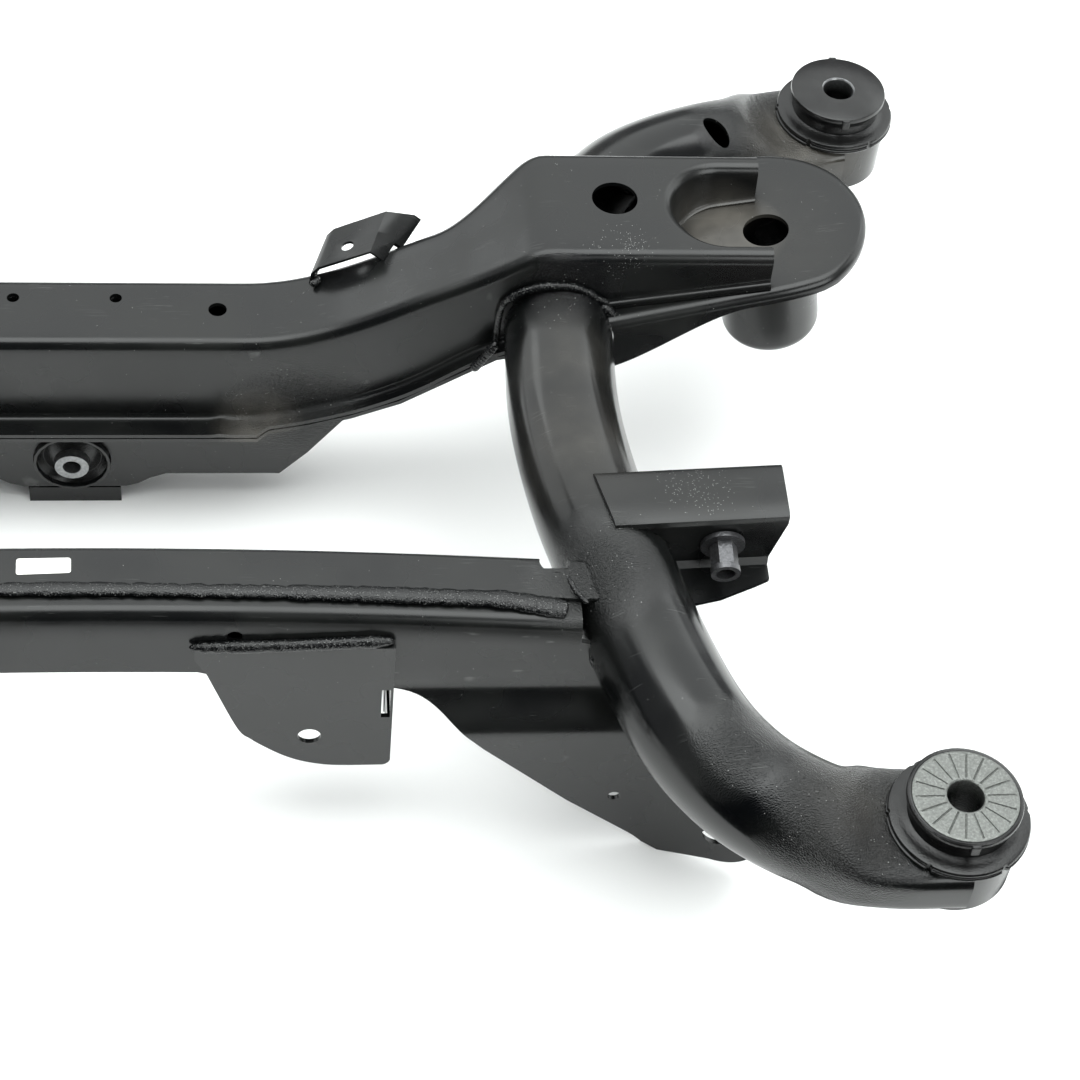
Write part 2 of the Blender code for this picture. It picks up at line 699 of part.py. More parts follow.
def bowl_wall(name):
    """Rolled wall that leads from the ear's top down to the ear plate."""
    path = np.array(bowl_path(BOWL_STEPS))
    heading = np.gradient(path, axis=0)
    heading[0] = (-1.0, 0.0)
    heading[-1] = (1.0, 0.0)
    heading /= np.linalg.norm(heading, axis=1)[:, None]
    top = EAR_TOP_Z - BOWL_SKIN
    under = EAR_TOP_Z - SHEET + BOWL_SKIN
    outer = BOWL_LIP_RADIUS
    inner = BOWL_LIP_RADIUS - (top - under)
    rings = []
    for point, ahead in zip(path, heading):
        inside = np.array((ahead[1], -ahead[0]))
        foot = ear_plate_z(point[0] + BOWL_LIP_RADIUS) + FIT
        upper = [(-BOWL_LAP, top)]
        lower = [(-BOWL_LAP, under)]
        for angle in np.radians((0.0, 45.0, 90.0)):
            s, c = math.sin(angle), 1.0 - math.cos(angle)
            upper.append((outer * s, top - outer * c))
            lower.append((inner * s, under - inner * c))
        upper.append((outer, foot))
        lower.append((inner, foot))
        section = upper + lower[::-1]
        rings.append([(point[0] + inside[0] * n, point[1] + inside[1] * n, z) for n, z in section])
    return loft(name, rings, False, CUTTERS)


def make_rear_upper(cutters):
    """Upper shell of the rear beam: a pressed channel that climbs to an ear at each side."""
    rows = [rear_section(x) for x in rear_stations()]
    shell = pressed_sheet("rear_beam_upper", rows, SHEET, inward=True)
    window_path = bowl_path(BOWL_STEPS)
    window = prism("bowl_window_right", window_path, EAR_TOP_Z - 0.012, EAR_TOP_Z + 0.010, "Z")
    wall = bowl_wall("bowl_wall_right")
    trim = box("bowl_trim_right", (EAR_END_X, -0.5, 0.0), (EAR_END_X + 0.05, 0.5, 0.5))
    combine(wall, trim)
    hole = cylinder("ear_hole_right", EAR_HOLE_RADIUS, 0.06, (EAR_HOLE_X, EAR_HOLE_Y, EAR_TOP_Z))
    left = [mirrored(item, item.name.replace("right", "left"), CUTTERS) for item in (window, wall, hole)]
    for item in (window, left[0]):
        combine(shell, item)
    for item in (wall, left[1]):
        combine(shell, item, "UNION")
    for item in (hole, left[2]):
        combine(shell, item)
    middle_y = REAR_FRONT_Y + 0.042
    for x in (-TAPPED_HOLE_X, TAPPED_HOLE_X):
        combine(shell, cylinder("tapped_hole", TAPPED_HOLE_RADIUS, 0.03, (x, middle_y, REAR_TOP_Z), sides=16))
    for x in (-PLAIN_HOLE_X, PLAIN_HOLE_X):
        combine(shell, cylinder("plain_hole", PLAIN_HOLE_RADIUS, 0.03,
                                (x, REAR_FRONT_Y + 0.032, REAR_TOP_Z), sides=16))
    for cutter in cutters:
        combine(shell, cutter)


def flange_under_z(x):
    """Highest level of the lower shell's flange, a fit below the upper one, measured square to its slope."""
    places = [place for place in rear_stations() if place >= 0.0]
    feet = [rear_wall_foot_z(place) for place in places]
    levels = []
    for i, foot in enumerate(feet):
        near = [j for j in (i - 1, i + 1) if 0 <= j < len(places)]
        slope = max(abs((feet[j] - foot) / (places[j] - places[i])) for j in near)
        levels.append(foot - SHEET - (SHEET + FLANGE_CLEAR) * math.hypot(1.0, slope))
    return float(np.interp(abs(x), places, levels))


def trough_floor_z(x, rim):
    """Floor of the lower shell: flat, cut off slanting at its ends, deeper at the middle."""
    far = abs(x)
    if far >= TROUGH_END_X:
        return rim
    if far <= TROUGH_HALF_LENGTH:
        up = ease(far, BELLY_HALF_LENGTH, BELLY_END_X)
        return BELLY_FLOOR_Z + (TROUGH_FLOOR_Z - BELLY_FLOOR_Z) * up
    share = (far - TROUGH_HALF_LENGTH) / (TROUGH_END_X - TROUGH_HALF_LENGTH)
    return TROUGH_FLOOR_Z + (rim - TROUGH_FLOOR_Z) * share


def trough_back_y():
    """Outer face of the lower shell's rear wall."""
    return REAR_FRONT_Y + REAR_DEPTH_MIDDLE - TROUGH_BACK_INSET


def lower_section(x):
    """Section of the lower shell at a station."""
    front = REAR_FRONT_Y
    back = front + rear_depth(x)
    rim = flange_under_z(x)
    floor = trough_floor_z(x, rim)
    lip = flange_width(x)
    wall_front = front + TROUGH_INSET + SHEET
    wall_back = trough_back_y() - SHEET
    share = min(1.0, (rim - floor) / 0.012)
    section = [(front - lip, rim), (wall_front - 0.003, rim), (wall_front, rim - 0.003 * share),
               (wall_front, floor + 0.005 * share), (wall_front + 0.005, floor),
               (wall_back - 0.005, floor), (wall_back, floor + 0.005 * share),
               (wall_back, rim - 0.003 * share), (wall_back + 0.003, rim), (back + lip, rim)]
    return [(x, y, z) for y, z in section]


def make_rear_lower(cutters):
    """Lower shell of the rear beam, with a belly round the differential bush."""
    belly = [BELLY_HALF_LENGTH + (BELLY_END_X - BELLY_HALF_LENGTH) * share for share in (0.0, 0.3, 0.6, 1.0)]
    shared = [place for place in rear_stations() if BELLY_END_X < place < LOWER_END_X]
    stations = both_ways(belly + [TROUGH_HALF_LENGTH, TROUGH_END_X] + shared + [LOWER_END_X])
    shell = pressed_sheet("rear_beam_lower", [lower_section(x) for x in stations], SHEET, inward=True)
    seat = cylinder("diff_seat", DIFF_BUSH_RADIUS + FIT, 0.12,
                    (0.0, REAR_FRONT_Y + 0.030, diff_axis_z()), "Y", sides=32)
    for which, low_y in (("front", REAR_FRONT_Y + TROUGH_INSET), ("rear", trough_back_y() - SHEET)):
        half_tab = REST_TAB_LENGTH / 2
        tab = box("rest_tab_" + which, (-half_tab, low_y + BOWL_SKIN, 0.0),
                  (half_tab, low_y + SHEET - BOWL_SKIN, REST_TAB_HEIGHT))
        combine(shell, tab, "UNION")
    combine(shell, seat)
    for cutter in cutters:
        combine(shell, cutter)


def diff_axis_z():
    """Height of the differential bush."""
    return BELLY_FLOOR_Z + DIFF_BUSH_RISE + DIFF_BUSH_RADIUS


def make_diff_bush():
    """Bush of the differential, with its axis along the car."""
    front = REAR_FRONT_Y + TROUGH_INSET - DIFF_PROUD
    back = trough_back_y() + DIFF_PROUD
    half = (back - front) / 2
    centre = (0.0, (front + back) / 2, diff_axis_z())
    shell_inner = DIFF_BUSH_RADIUS - DIFF_SHELL_WALL
    turned("diff_bush_shell", tube_profile(DIFF_BUSH_RADIUS, shell_inner, half, -half), centre, "Y")
    rubber_outer = shell_inner - FIT
    rubber_inner = DIFF_CORE_RADIUS + FIT
    rubber = ((rubber_outer, half - 0.003), (rubber_outer, -half + 0.003),
              (rubber_outer - 0.004, -half + 0.008), (rubber_inner, -half + 0.003),
              (rubber_inner, half - 0.003), (rubber_outer - 0.004, half - 0.008))
    turned("diff_bush_rubber", rubber, centre, "Y")
    turned("diff_bush_core",
           tube_profile(DIFF_CORE_RADIUS, DIFF_BORE_RADIUS, half + 0.003, -half - 0.003), centre, "Y")


def make_weld_nuts():
    """Hexagon weld nuts under the tapped holes of the rear beam."""
    for side, x in (("left", -TAPPED_HOLE_X), ("right", TAPPED_HOLE_X)):
        top = REAR_TOP_Z - SHEET - FIT
        outline = arc((x, REAR_FRONT_Y + 0.042), WELD_NUT_RADIUS, 0.0, 300.0, 5)
        nut = prism("weld_nut_" + side, outline, top - WELD_NUT_HEIGHT, top, "Z", COLLECTION)
        bore = cylinder("weld_nut_bore_" + side, TAPPED_HOLE_RADIUS, 0.04,
                        (x, REAR_FRONT_Y + 0.042, top), sides=16)
        combine(nut, bore)


def ear_outline():
    """Plan outline of the right ear plate, with the depth of its turned-down rim."""
    front_y = REAR_FRONT_Y - EAR_MARGIN
    route = tube_axis()
    lobe_back = LOBE_Y + LOBE_RADIUS
    inside_tube = [tuple(p) for p in route
                   if front_y + 0.010 < p[1] < lobe_back - 0.006 and p[1] > REAR_FRONT_Y - 0.05]
    start = [(0.330, front_y)]
    along = [(x, front_y + 0.0) for x in (0.352, 0.372, 0.392, 0.412, 0.432)]
    touch = math.degrees(math.asin((LOBE_Y - front_y) / LOBE_RADIUS)) if LOBE_Y - front_y < LOBE_RADIUS else 90.0
    lobe = arc((LOBE_X, LOBE_Y), LOBE_RADIUS, -touch + 8.0, 90.0, 14)
    back = [(0.425, lobe_back)]
    points = start + along + lobe + back + inside_tube[::-1]
    depths = []
    for x, y in points:
        depth = LOBE_RIM
        if y <= front_y + 0.004:
            depth = LOBE_RIM + (EAR_SKIRT - LOBE_RIM) * (1.0 - ease(x, 0.345, 0.440))
        depths.append(depth)
    return points, depths


def make_ear_plate(cutters):
    """Ear plate under the end of the rear beam, with a rolled edge round its lobe."""
    points, depths = ear_outline()
    plan = np.array(points)
    ahead = np.roll(plan, -1, axis=0) - plan
    behind = plan - np.roll(plan, 1, axis=0)
    ahead /= np.linalg.norm(ahead, axis=1)[:, None]
    behind /= np.linalg.norm(behind, axis=1)[:, None]
    heading = ahead + behind
    heading /= np.linalg.norm(heading, axis=1)[:, None]
    inside = np.stack([-heading[:, 1], heading[:, 0]], 1)
    rings = []
    for inset, drop in ((EAR_BEND, 0.0), (EAR_BEND * 0.5, EAR_BEND * 0.134), (EAR_BEND * 0.134, EAR_BEND * 0.5),
                        (0.0, EAR_BEND)):
        ring = plan + inside * inset
        rings.append([(x, y, ear_plate_z(x) - drop) for x, y in ring])
    rings.append([(x, y, ear_plate_z(x) - max(d, EAR_BEND + 0.001)) for (x, y), d in zip(plan, depths)])
    count = len(plan)
    faces = [tuple(range(count))]
    for i in range(len(rings) - 1):
        for j in range(count):
            k = (j + 1) % count
            faces.append((i * count + j, (i + 1) * count + j, (i + 1) * count + k, i * count + k))
    mesh = mesh_of("ear_plate", [p for ring in rings for p in ring], faces)
    shade_round(mesh)
    plate = add_object("ear_plate", mesh)
    wall = plate.modifiers.new("wall", "SOLIDIFY")
    wall.thickness = PLATE
    wall.offset = -1.0
    wall.use_even_offset = True
    hole = cylinder("cup_hole", EAR_HOLE_RADIUS, 0.05, (CUP_X, LOBE_Y - CUP_FORWARD, ear_plate_z(CUP_X)))
    combine(plate, hole)
    combine(plate, cutters[0])
    both_sides(plate)


def make_ear_cup():
    """Deep-drawn cup under the ear plate's hole, square to the sloping plate."""
    r, w, h = CUP_RADIUS, CUP_WALL, CUP_HEIGHT
    profile = [(r, 0.0), (r, -h + CUP_CORNER)]
    profile += [(r - CUP_CORNER + CUP_CORNER * math.cos(a), -h + CUP_CORNER - CUP_CORNER * math.sin(a))
                for a in np.radians((30.0, 60.0, 90.0))]
    profile += [(CUP_DRAIN_RADIUS, -h), (CUP_DRAIN_RADIUS, -h + w)]
    small = CUP_CORNER - w
    profile += [(r - CUP_CORNER + small * math.cos(a), -h + CUP_CORNER - small * math.sin(a))
                for a in np.radians((90.0, 45.0, 0.0))]
    profile += [(r - w, 0.0)]
    lean = math.atan(EAR_PLATE_SLOPE)
    under = PLATE + FIT
    centre = Vector((CUP_X, LOBE_Y - CUP_FORWARD, ear_plate_z(CUP_X)))
    centre += Vector((math.sin(lean), 0.0, -math.cos(lean))) * under
    cup = turned("ear_cup", profile, centre)
    cup.rotation_euler = (0.0, -lean, 0.0)
    both_sides(cup)


def front_top_z(x):
    """Height of the front beam's cap, which is crowned at the middle."""
    return FRONT_END_TOP_Z + FRONT_CROWN * (1.0 - min(abs(x) / FRONT_CROWN_X, 1.0) ** 2)


def make_front_cap(cutters):
    """Cap of the front beam: its top and rear wall in one sheet."""
    stations = np.linspace(-FRONT_CAP_END_X, FRONT_CAP_END_X, 17)
    front = FRONT_WALL_Y + FRONT_CAP_LAP
    back = FRONT_WALL_Y + FRONT_DEPTH
    r = FRONT_CAP_FOLD
    rows = []
    for x in stations:
        top = front_top_z(x)
        section = [(front, top)]
        section += [(back - r + r * math.cos(a), top - r + r * math.sin(a))
                    for a in np.radians((90.0, 60.0, 30.0, 0.0))]
        section += [(back, top - FRONT_HEIGHT)]
        rows.append([(x, y, z) for y, z in section])
    cap = pressed_sheet("front_beam_cap", rows, SHEET, inward=True)
    for side, x in (("left", -CAP_NOTCH_X), ("right", CAP_NOTCH_X)):
        combine(cap, cylinder("cap_notch_" + side, CAP_NOTCH_RADIUS, 0.024,
                              (x, back - 0.004, front_top_z(x)), sides=20))
    for cutter in cutters:
        combine(cap, cutter)


def front_wall_y(x, z):
    """Outer face of the front wall and of the wings below it."""
    step = WING_STEP * ease(WING_STEP_TOP - z, 0.0, WING_STEP_HEIGHT)
    y = FRONT_WALL_Y - step
    if abs(x) > WING_BEND_X:
        y -= WING_BEND_SLOPE * (abs(x) - WING_BEND_X)
    return y


def wing_outline():
    """Outline of the right half of the front wall seen from the front."""
    face = MOUNT_FACE_Z
    eye = arc((ARM_HOLE_X, ARM_HOLE_Z), ARM_EYE_RADIUS, 10.0, -90.0, 6)
    eye = [(min(x, WING_END_X), max(z, 0.0)) for x, z in eye]
    lower = [(0.374, 0.0), (0.364, 0.004), (0.357, 0.011), (0.313, face - 0.168), (0.259, face - 0.113)]
    sweep = smooth_curve([(0.259, face - 0.113), (0.244, face - 0.096), (0.228, face - 0.082),
                          (0.212, face - 0.074), (0.190, face - 0.070)], 7)
    foot = [(0.120, front_top_z(0.12) - FRONT_HEIGHT - 0.004), (0.095, front_top_z(0.095) - FRONT_HEIGHT),
            (0.050, front_top_z(0.05) - FRONT_HEIGHT), (0.0, front_top_z(0.0) - FRONT_HEIGHT)]
    top = [(0.0, face + 0.04), (FOLD_END_X, face + 0.04), (FOLD_END_X, face - 0.034),
           (0.338, TUBE_AXIS_Z), (0.352, TUBE_AXIS_Z), (0.400, face - 0.092), (WING_END_X, face - 0.150)]
    return top + eye + lower[:-1] + [tuple(p) for p in sweep] + foot


def make_front_shell(cutters):
    """Front wall of the front beam with both arm wings, in one pressing."""
    before = [FRONT_CROWN_X * share for share in (0.18, 0.36, 0.52, 0.66, 0.80, 0.92, 1.03)]
    bend = [WING_BEND_X - 0.008, WING_BEND_X + 0.004, (WING_BEND_X + WING_END_X) / 2]
    stations = both_ways(before + bend + [WING_END_X + 0.004])
    r = FRONT_FOLD_RADIUS
    lap_back = FRONT_WALL_Y + FRONT_CAP_LAP + FRONT_LAP_WIDTH
    depths = [WING_STEP_TOP + 0.008, WING_STEP_TOP, WING_STEP_TOP - 0.25 * WING_STEP_HEIGHT,
              WING_STEP_TOP - 0.5 * WING_STEP_HEIGHT, WING_STEP_TOP - 0.75 * WING_STEP_HEIGHT,
              WING_STEP_TOP - WING_STEP_HEIGHT, WING_STEP_TOP - WING_STEP_HEIGHT - 0.010, -0.010]
    rows = []
    for x in stations:
        top = front_top_z(x) - SHEET - FIT
        bend = front_wall_y(x, top) - FRONT_WALL_Y
        section = [(lap_back, top)]
        section += [(FRONT_WALL_Y + bend + r + r * math.cos(a), top - r + r * math.sin(a))
                    for a in np.radians((90.0, 112.5, 135.0, 157.5, 180.0))]
        section += [(front_wall_y(x, z), z) for z in depths]
        rows.append([(x, y, z) for y, z in section])
    shell = pressed_sheet("front_beam_shell", rows, SHEET, inward=False)
    half_outline = wing_outline()
    mirror_half = [(-x, z) for x, z in reversed(half_outline) if abs(x) > 1e-6]
    outline = half_outline + mirror_half
    trim = prism("wing_trim", outline, -0.5, 0.5, "Y")
    combine(shell, trim, "INTERSECT")
    for side in (-1.0, 1.0):
        for radius, x, z in ((ARM_HOLE_RADIUS, ARM_HOLE_X, ARM_HOLE_Z),
                             (WING_DRAIN_RADIUS, WING_DRAIN_X, WING_DRAIN_Z),
                             (WALL_HOLE_RADIUS, WALL_HOLE_X, front_top_z(WALL_HOLE_X) - 0.021)):
            combine(shell, cylinder("front_hole", radius, 0.08,
                                    (side * x, front_wall_y(x, z), z), "Y", sides=16))
    for cutter in cutters:
        combine(shell, cutter)


def make_front_floor(cutters):
    """Floor of the front beam, with a flange at each wall."""
    stations = np.linspace(-FRONT_FLOOR_END_X, FRONT_FLOOR_END_X, 13)
    front = FRONT_WALL_Y + SHEET + FIT
    back = FRONT_WALL_Y + FRONT_DEPTH - SHEET - FIT
    rows = []
    for x in stations:
        low = front_top_z(x) - FRONT_HEIGHT + 0.002
        section = [(front, low + 0.012), (front, low + 0.003), (front + 0.003, low),
                   (back - 0.003, low), (back, low + 0.003), (back, low + 0.012)]
        rows.append([(x, y, z) for y, z in section])
    floor = pressed_sheet("front_beam_floor", rows, SHEET, inward=False)
    for cutter in cutters:
        combine(floor, cutter)


def link_outline():
    """Outline of a link bracket seen from the front."""
    top, low = LINK_TOP_Z, LINK_TOP_Z - LINK_HEIGHT
    left, right = LINK_LEFT_X, LINK_RIGHT_X
    toe = smooth_curve([(left + 0.006, top - 0.022), (left + 0.028, low + 0.031),
                        (left + 0.037, low + 0.016), (left + 0.053, low + 0.005),
                        (left + 0.072, low + 0.001), (left + 0.090, low)], 9)
    points = [(left, top), (left, top - 0.010)] + [tuple(p) for p in toe]
    points += arc((right - 0.004, low + 0.008), 0.004, 270.0, 360.0, 3)
    points += [(right, top)]
    return points


def make_link_brackets():
    """Front and rear leaves that hold a suspension link under the front beam."""
    outline = link_outline()
    faces = (("front", FRONT_WALL_Y - FIT - PLATE, -1), ("rear", FRONT_WALL_Y + FRONT_DEPTH + FIT, 1))
    for which, low_y, way in faces:
        leaf = prism("link_leaf_" + which, outline, low_y, low_y + PLATE, "Y", COLLECTION)
        hole = cylinder("link_hole_" + which, LINK_HOLE_RADIUS, 0.02,
                        (LINK_HOLE_X, low_y, LINK_TOP_Z - LINK_HOLE_BELOW), "Y", sides=20)
        combine(leaf, hole)
        flange_top = LINK_TOP_Z - LINK_HEIGHT + 0.060
        right = LINK_RIGHT_X
        if way < 0:
            flange_y = (low_y + PLATE - 0.001, low_y + PLATE + LINK_SIDE_FLANGE)
        else:
            flange_y = (low_y - LINK_SIDE_FLANGE, low_y + 0.001)
        flange = box("link_flange_" + which, (right - PLATE, flange_y[0], LINK_TOP_Z - LINK_HEIGHT + 0.006),
                     (right, flange_y[1], flange_top - 0.015))
        combine(leaf, flange, "UNION")
        both_sides(leaf)


def make_arm_leaves(cutters):
    """Rear leaves of the arm brackets, behind the wings and under the tubes."""
    y = front_wall_y(WING_DRAIN_X, WING_DRAIN_Z) + SHEET + ARM_GAP
    eye = arc((ARM_HOLE_X, ARM_HOLE_Z), ARM_EYE_RADIUS, 20.0, -90.0, 6)
    eye = [(x, max(z, 0.0)) for x, z in eye]
    outline = [(0.334, TUBE_AXIS_Z), (0.356, TUBE_AXIS_Z), (0.402, MOUNT_FACE_Z - 0.100)]
    outline += eye + [(0.374, 0.0), (0.357, 0.011), (0.318, 0.075), (0.310, MOUNT_FACE_Z - 0.072)]
    leaf = prism("arm_leaf", outline, y, y + PLATE, "Y", COLLECTION)
    hole = cylinder("arm_leaf_hole", ARM_HOLE_RADIUS, 0.03, (ARM_HOLE_X, y, ARM_HOLE_Z), "Y", sides=20)
    combine(leaf, hole)
    combine(leaf, cutters[0])
    both_sides(leaf)


def make_outrigger(cutters):
    """Channel bracket that stands out from the tube, with a foot flange along the tube."""
    top = TUBE_AXIS_Z + TUBE_RADIUS + FIT + PLATE
    front = OUTRIGGER_Y - OUTRIGGER_WIDTH / 2
    back = OUTRIGGER_Y + OUTRIGGER_WIDTH / 2
    low = top - OUTRIGGER_HEIGHT
    r = 0.005
    lean = OUTRIGGER_LEAN
    foot = front + lean * OUTRIGGER_HEIGHT
    section = [(foot - OUTRIGGER_FLANGE, low), (foot - 0.004, low), (foot - 0.001, low + 0.004),
               (front + lean * r, top - r), (front + 0.0015, top - 0.0015), (front + r, top),
               (back - r, top), (back - 0.0015, top - 0.0015), (back, top - r), (back, low + 0.010)]
    end = OUTRIGGER_END_X
    stations = (0.300, 0.370, end + 0.010)
    rows = [[(x, y + OUTRIGGER_SKEW * (x - end), z) for y, z in section] for x in stations]
    bracket = pressed_sheet("outrigger", rows, PLATE, inward=True)
    tip = foot - OUTRIGGER_FLANGE
    plan = [(0.3205, back + 0.010), (0.3355, front - 0.008), (0.3355, tip), (0.378, tip + 0.004),
            (0.402, foot - OUTRIGGER_LIP - 0.014), (0.424, foot - OUTRIGGER_LIP - 0.004),
            (end - 0.008, foot - OUTRIGGER_LIP), (end - 0.003, foot - OUTRIGGER_LIP + 0.004),
            (end, foot - OUTRIGGER_LIP + 0.010), (end, back + 0.010)]
    trim = prism("outrigger_trim", plan, 0.0, 0.5, "Z")
    slant = prism("outrigger_slant", [(0.300, top + 0.010), (end, top + 0.010), (end, top - 0.008),
                                      (end - OUTRIGGER_END_SLANT, low), (end - OUTRIGGER_END_SLANT, low - 0.010),
                                      (0.300, low - 0.010)], -0.3, 0.3, "Y")
    combine(bracket, trim, "INTERSECT")
    combine(bracket, slant, "INTERSECT")
    combine(bracket, cutters[0])
    both_sides(bracket)
    make_nut(front, top)


def make_nut(front, top):
    """Flange nut on the outrigger's leaning front wall."""
    lean = math.atan(OUTRIGGER_LEAN)
    face = front + OUTRIGGER_LEAN * NUT_BELOW + OUTRIGGER_SKEW * (NUT_X - OUTRIGGER_END_X)
    seat = Vector((NUT_X, face - OUTRIGGER_SKEW * NUT_FLANGE_RADIUS, top - NUT_BELOW))
    out = Vector((0.0, -math.cos(lean), -math.sin(lean)))
    flange_end = FIT + NUT_FLANGE_THICKNESS
    turn = out.to_track_quat("Z", "Y").to_matrix().to_4x4()
    sides = 24
    flange = [(NUT_FLANGE_RADIUS * math.cos(a), NUT_FLANGE_RADIUS * math.sin(a))
              for a in np.linspace(0.0, 2 * math.pi, sides, endpoint=False)]
    hexagon = arc((0.0, 0.0), NUT_HEX_RADIUS, 0.0, 300.0, 5)
    nut = prism("outrigger_nut", flange, FIT, flange_end, "Z", COLLECTION)
    barrel = prism("nut_hexagon", hexagon, FIT + 0.001, flange_end + NUT_LENGTH, "Z")
    tip_end = flange_end + NUT_LENGTH + NUT_TIP_LENGTH
    tip = prism("nut_tip", arc((0.0, 0.0), NUT_TIP_RADIUS, 0.0, 340.0, 17),
                flange_end + NUT_LENGTH - 0.001, tip_end, "Z")
    bore = cylinder("nut_bore", NUT_BORE_RADIUS, 0.08, (0.0, 0.0, 0.0), sides=16)
    combine(nut, barrel, "UNION")
    combine(nut, tip, "UNION")
    combine(nut, bore)
    place = Matrix.Translation(seat) @ turn
    for item in (nut, barrel, tip, bore):
        item.matrix_world = place
    both_sides(nut)


def rear_beam_block():
    """Cutter filling the rear beam up to a fit above its skin."""
    front, back = REAR_FRONT_Y, REAR_FRONT_Y + REAR_DEPTH_MIDDLE + FIT
    rings = []
    for x in (place for place in rear_stations() if place >= 0.0):
        top = rear_skin_z(x) + FIT
        rings.append([(x, front, 0.0), (x, back, 0.0), (x, back, top), (x, front, top)])
    return loft("rear_beam_block", rings, False, CUTTERS)


def make_clip_tabs():
    """Bridge-shaped tabs that stand on the climbing part of the rear beam and pass its back edge."""
    left, right = CLIP_LEFT_X, CLIP_LEFT_X + CLIP_WIDTH
    rows = []
    for share in (0.0, 0.5, 1.0):
        y = CLIP_FRONT_Y + CLIP_DEPTH * share
        skew = CLIP_SKEW * share
        section = ((left - CLIP_LEG / 2, -CLIP_LIFT / 2), (left - CLIP_LEG / 4, CLIP_LIFT * 0.7),
                   (left + CLIP_LEG / 4, CLIP_LIFT), (right, CLIP_LIFT),
                   (right + CLIP_LEG + CLIP_FLARE * share, 0.0),
                   (right + CLIP_LEG * 1.5 + CLIP_FLARE * share, -CLIP_LIFT / 2))
        rows.append([(x + skew, y, rear_skin_z(x + skew) + lift) for x, lift in section])
    tab = pressed_sheet("clip_tab", rows, CLIP_SHEET, inward=False)
    hole = cylinder("clip_hole", CLIP_HOLE_RADIUS, 0.02,
                    (CLIP_LEFT_X + CLIP_WIDTH * 0.6, CLIP_FRONT_Y + CLIP_DEPTH * 0.36,
                     rear_skin_z(CLIP_LEFT_X + CLIP_WIDTH / 2) + CLIP_LIFT), sides=16)
    combine(tab, hole)
    combine(tab, rear_beam_block())
    both_sides(tab)


def main():
    clear_scene()
    cutters = tube_cutters()
    make_side_tubes()
    make_mount("front", FRONT_MOUNT_X, FRONT_MOUNT_Y)
    make_mount("rear", REAR_MOUNT_X, REAR_MOUNT_Y)
    make_rear_upper(cutters)
    make_rear_lower(cutters)
    make_diff_bush()
    make_weld_nuts()
    make_ear_plate(cutters)
    make_ear_cup()
    make_front_cap(cutters)
    make_front_shell(cutters)
    make_front_floor(cutters)
    make_link_brackets()
    make_arm_leaves(cutters)
    make_outrigger(cutters)
    make_clip_tabs()


main()
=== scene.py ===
"""Studio scene of a rear axle subframe.

Pressed beams and bent tubes in one black coat, with rubber body mounts and their steel heads.
"""

import logging
import math
from collections.abc import Callable, Iterable, Sequence
from dataclasses import dataclass, field
from enum import Enum

import bpy
import numpy as np
from mathutils import Matrix, Vector


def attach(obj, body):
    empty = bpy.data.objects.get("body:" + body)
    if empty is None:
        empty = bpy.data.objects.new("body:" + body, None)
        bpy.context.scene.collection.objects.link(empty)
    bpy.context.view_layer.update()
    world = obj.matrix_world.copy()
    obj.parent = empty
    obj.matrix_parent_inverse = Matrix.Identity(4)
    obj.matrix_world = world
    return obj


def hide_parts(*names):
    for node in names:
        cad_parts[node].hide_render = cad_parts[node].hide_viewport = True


Piece = bpy.types.Object
Tree = bpy.types.NodeTree
Node = bpy.types.Node
Socket = bpy.types.NodeSocket

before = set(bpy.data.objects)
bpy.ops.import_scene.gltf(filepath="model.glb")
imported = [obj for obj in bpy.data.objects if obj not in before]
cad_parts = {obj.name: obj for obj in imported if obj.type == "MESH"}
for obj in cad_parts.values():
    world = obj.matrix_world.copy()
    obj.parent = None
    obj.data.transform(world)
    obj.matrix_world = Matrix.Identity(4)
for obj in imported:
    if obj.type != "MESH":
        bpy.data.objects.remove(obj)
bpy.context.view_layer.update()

log = logging.getLogger("subframe")

BODY = "root"
MM = 0.001
MERGE_GAP = 1e-6                # points nearer than this are one
SHEET_ANGLE = 38.0              # folds of a pressed sheet up to this many degrees are shaded smooth

# Places that several sub-assemblies share, in metres
FRONT_MOUNT = Vector((0.510, -0.2915, 0.218))
REAR_MOUNT = Vector((0.523, 0.2915, 0.218))
FRONT_WALL_Y = -0.1615
REAR_FRONT_Y = 0.1055
TUBE_RADIUS = 0.035
TUBE_AXIS_Z = 0.176
TUBE_CLEARANCE = 0.3 * MM       # between a tube and a sheet that is cut round it
EAR_TOP_Z = 0.238
EAR_END_X = 0.452
EAR_PLATE_END_Z = 0.212         # top of the ear plate at the ear's end
EAR_PLATE_SLOPE = 0.18          # its rise towards the outside


class Side(Enum):
    """Side of the frame that a piece is on."""

    RIGHT = 1
    LEFT = -1


class Slot(Enum):
    """Material slots of the record."""

    BLACK = "black_coat"
    RUBBER = "rubber"
    SERRATED = "serrated_steel"
    BARE = "bare_steel"
    ZINC = "zinc_steel"


# ---------------------------------------------------------------- shader helpers


def to_linear(code: str) -> tuple[float, float, float, float]:
    """Turn an sRGB hex colour into linear light.

    Args:
        code: six hex digits, such as "1a1b1d".

    Returns:
        Red, green, blue and alpha in linear light.
    """
    values = [int(code[i:i + 2], 16) / 255 for i in (0, 2, 4)]
    light = [v / 12.92 if v <= 0.04045 else ((v + 0.055) / 1.055) ** 2.4 for v in values]
    return (*light, 1.0)


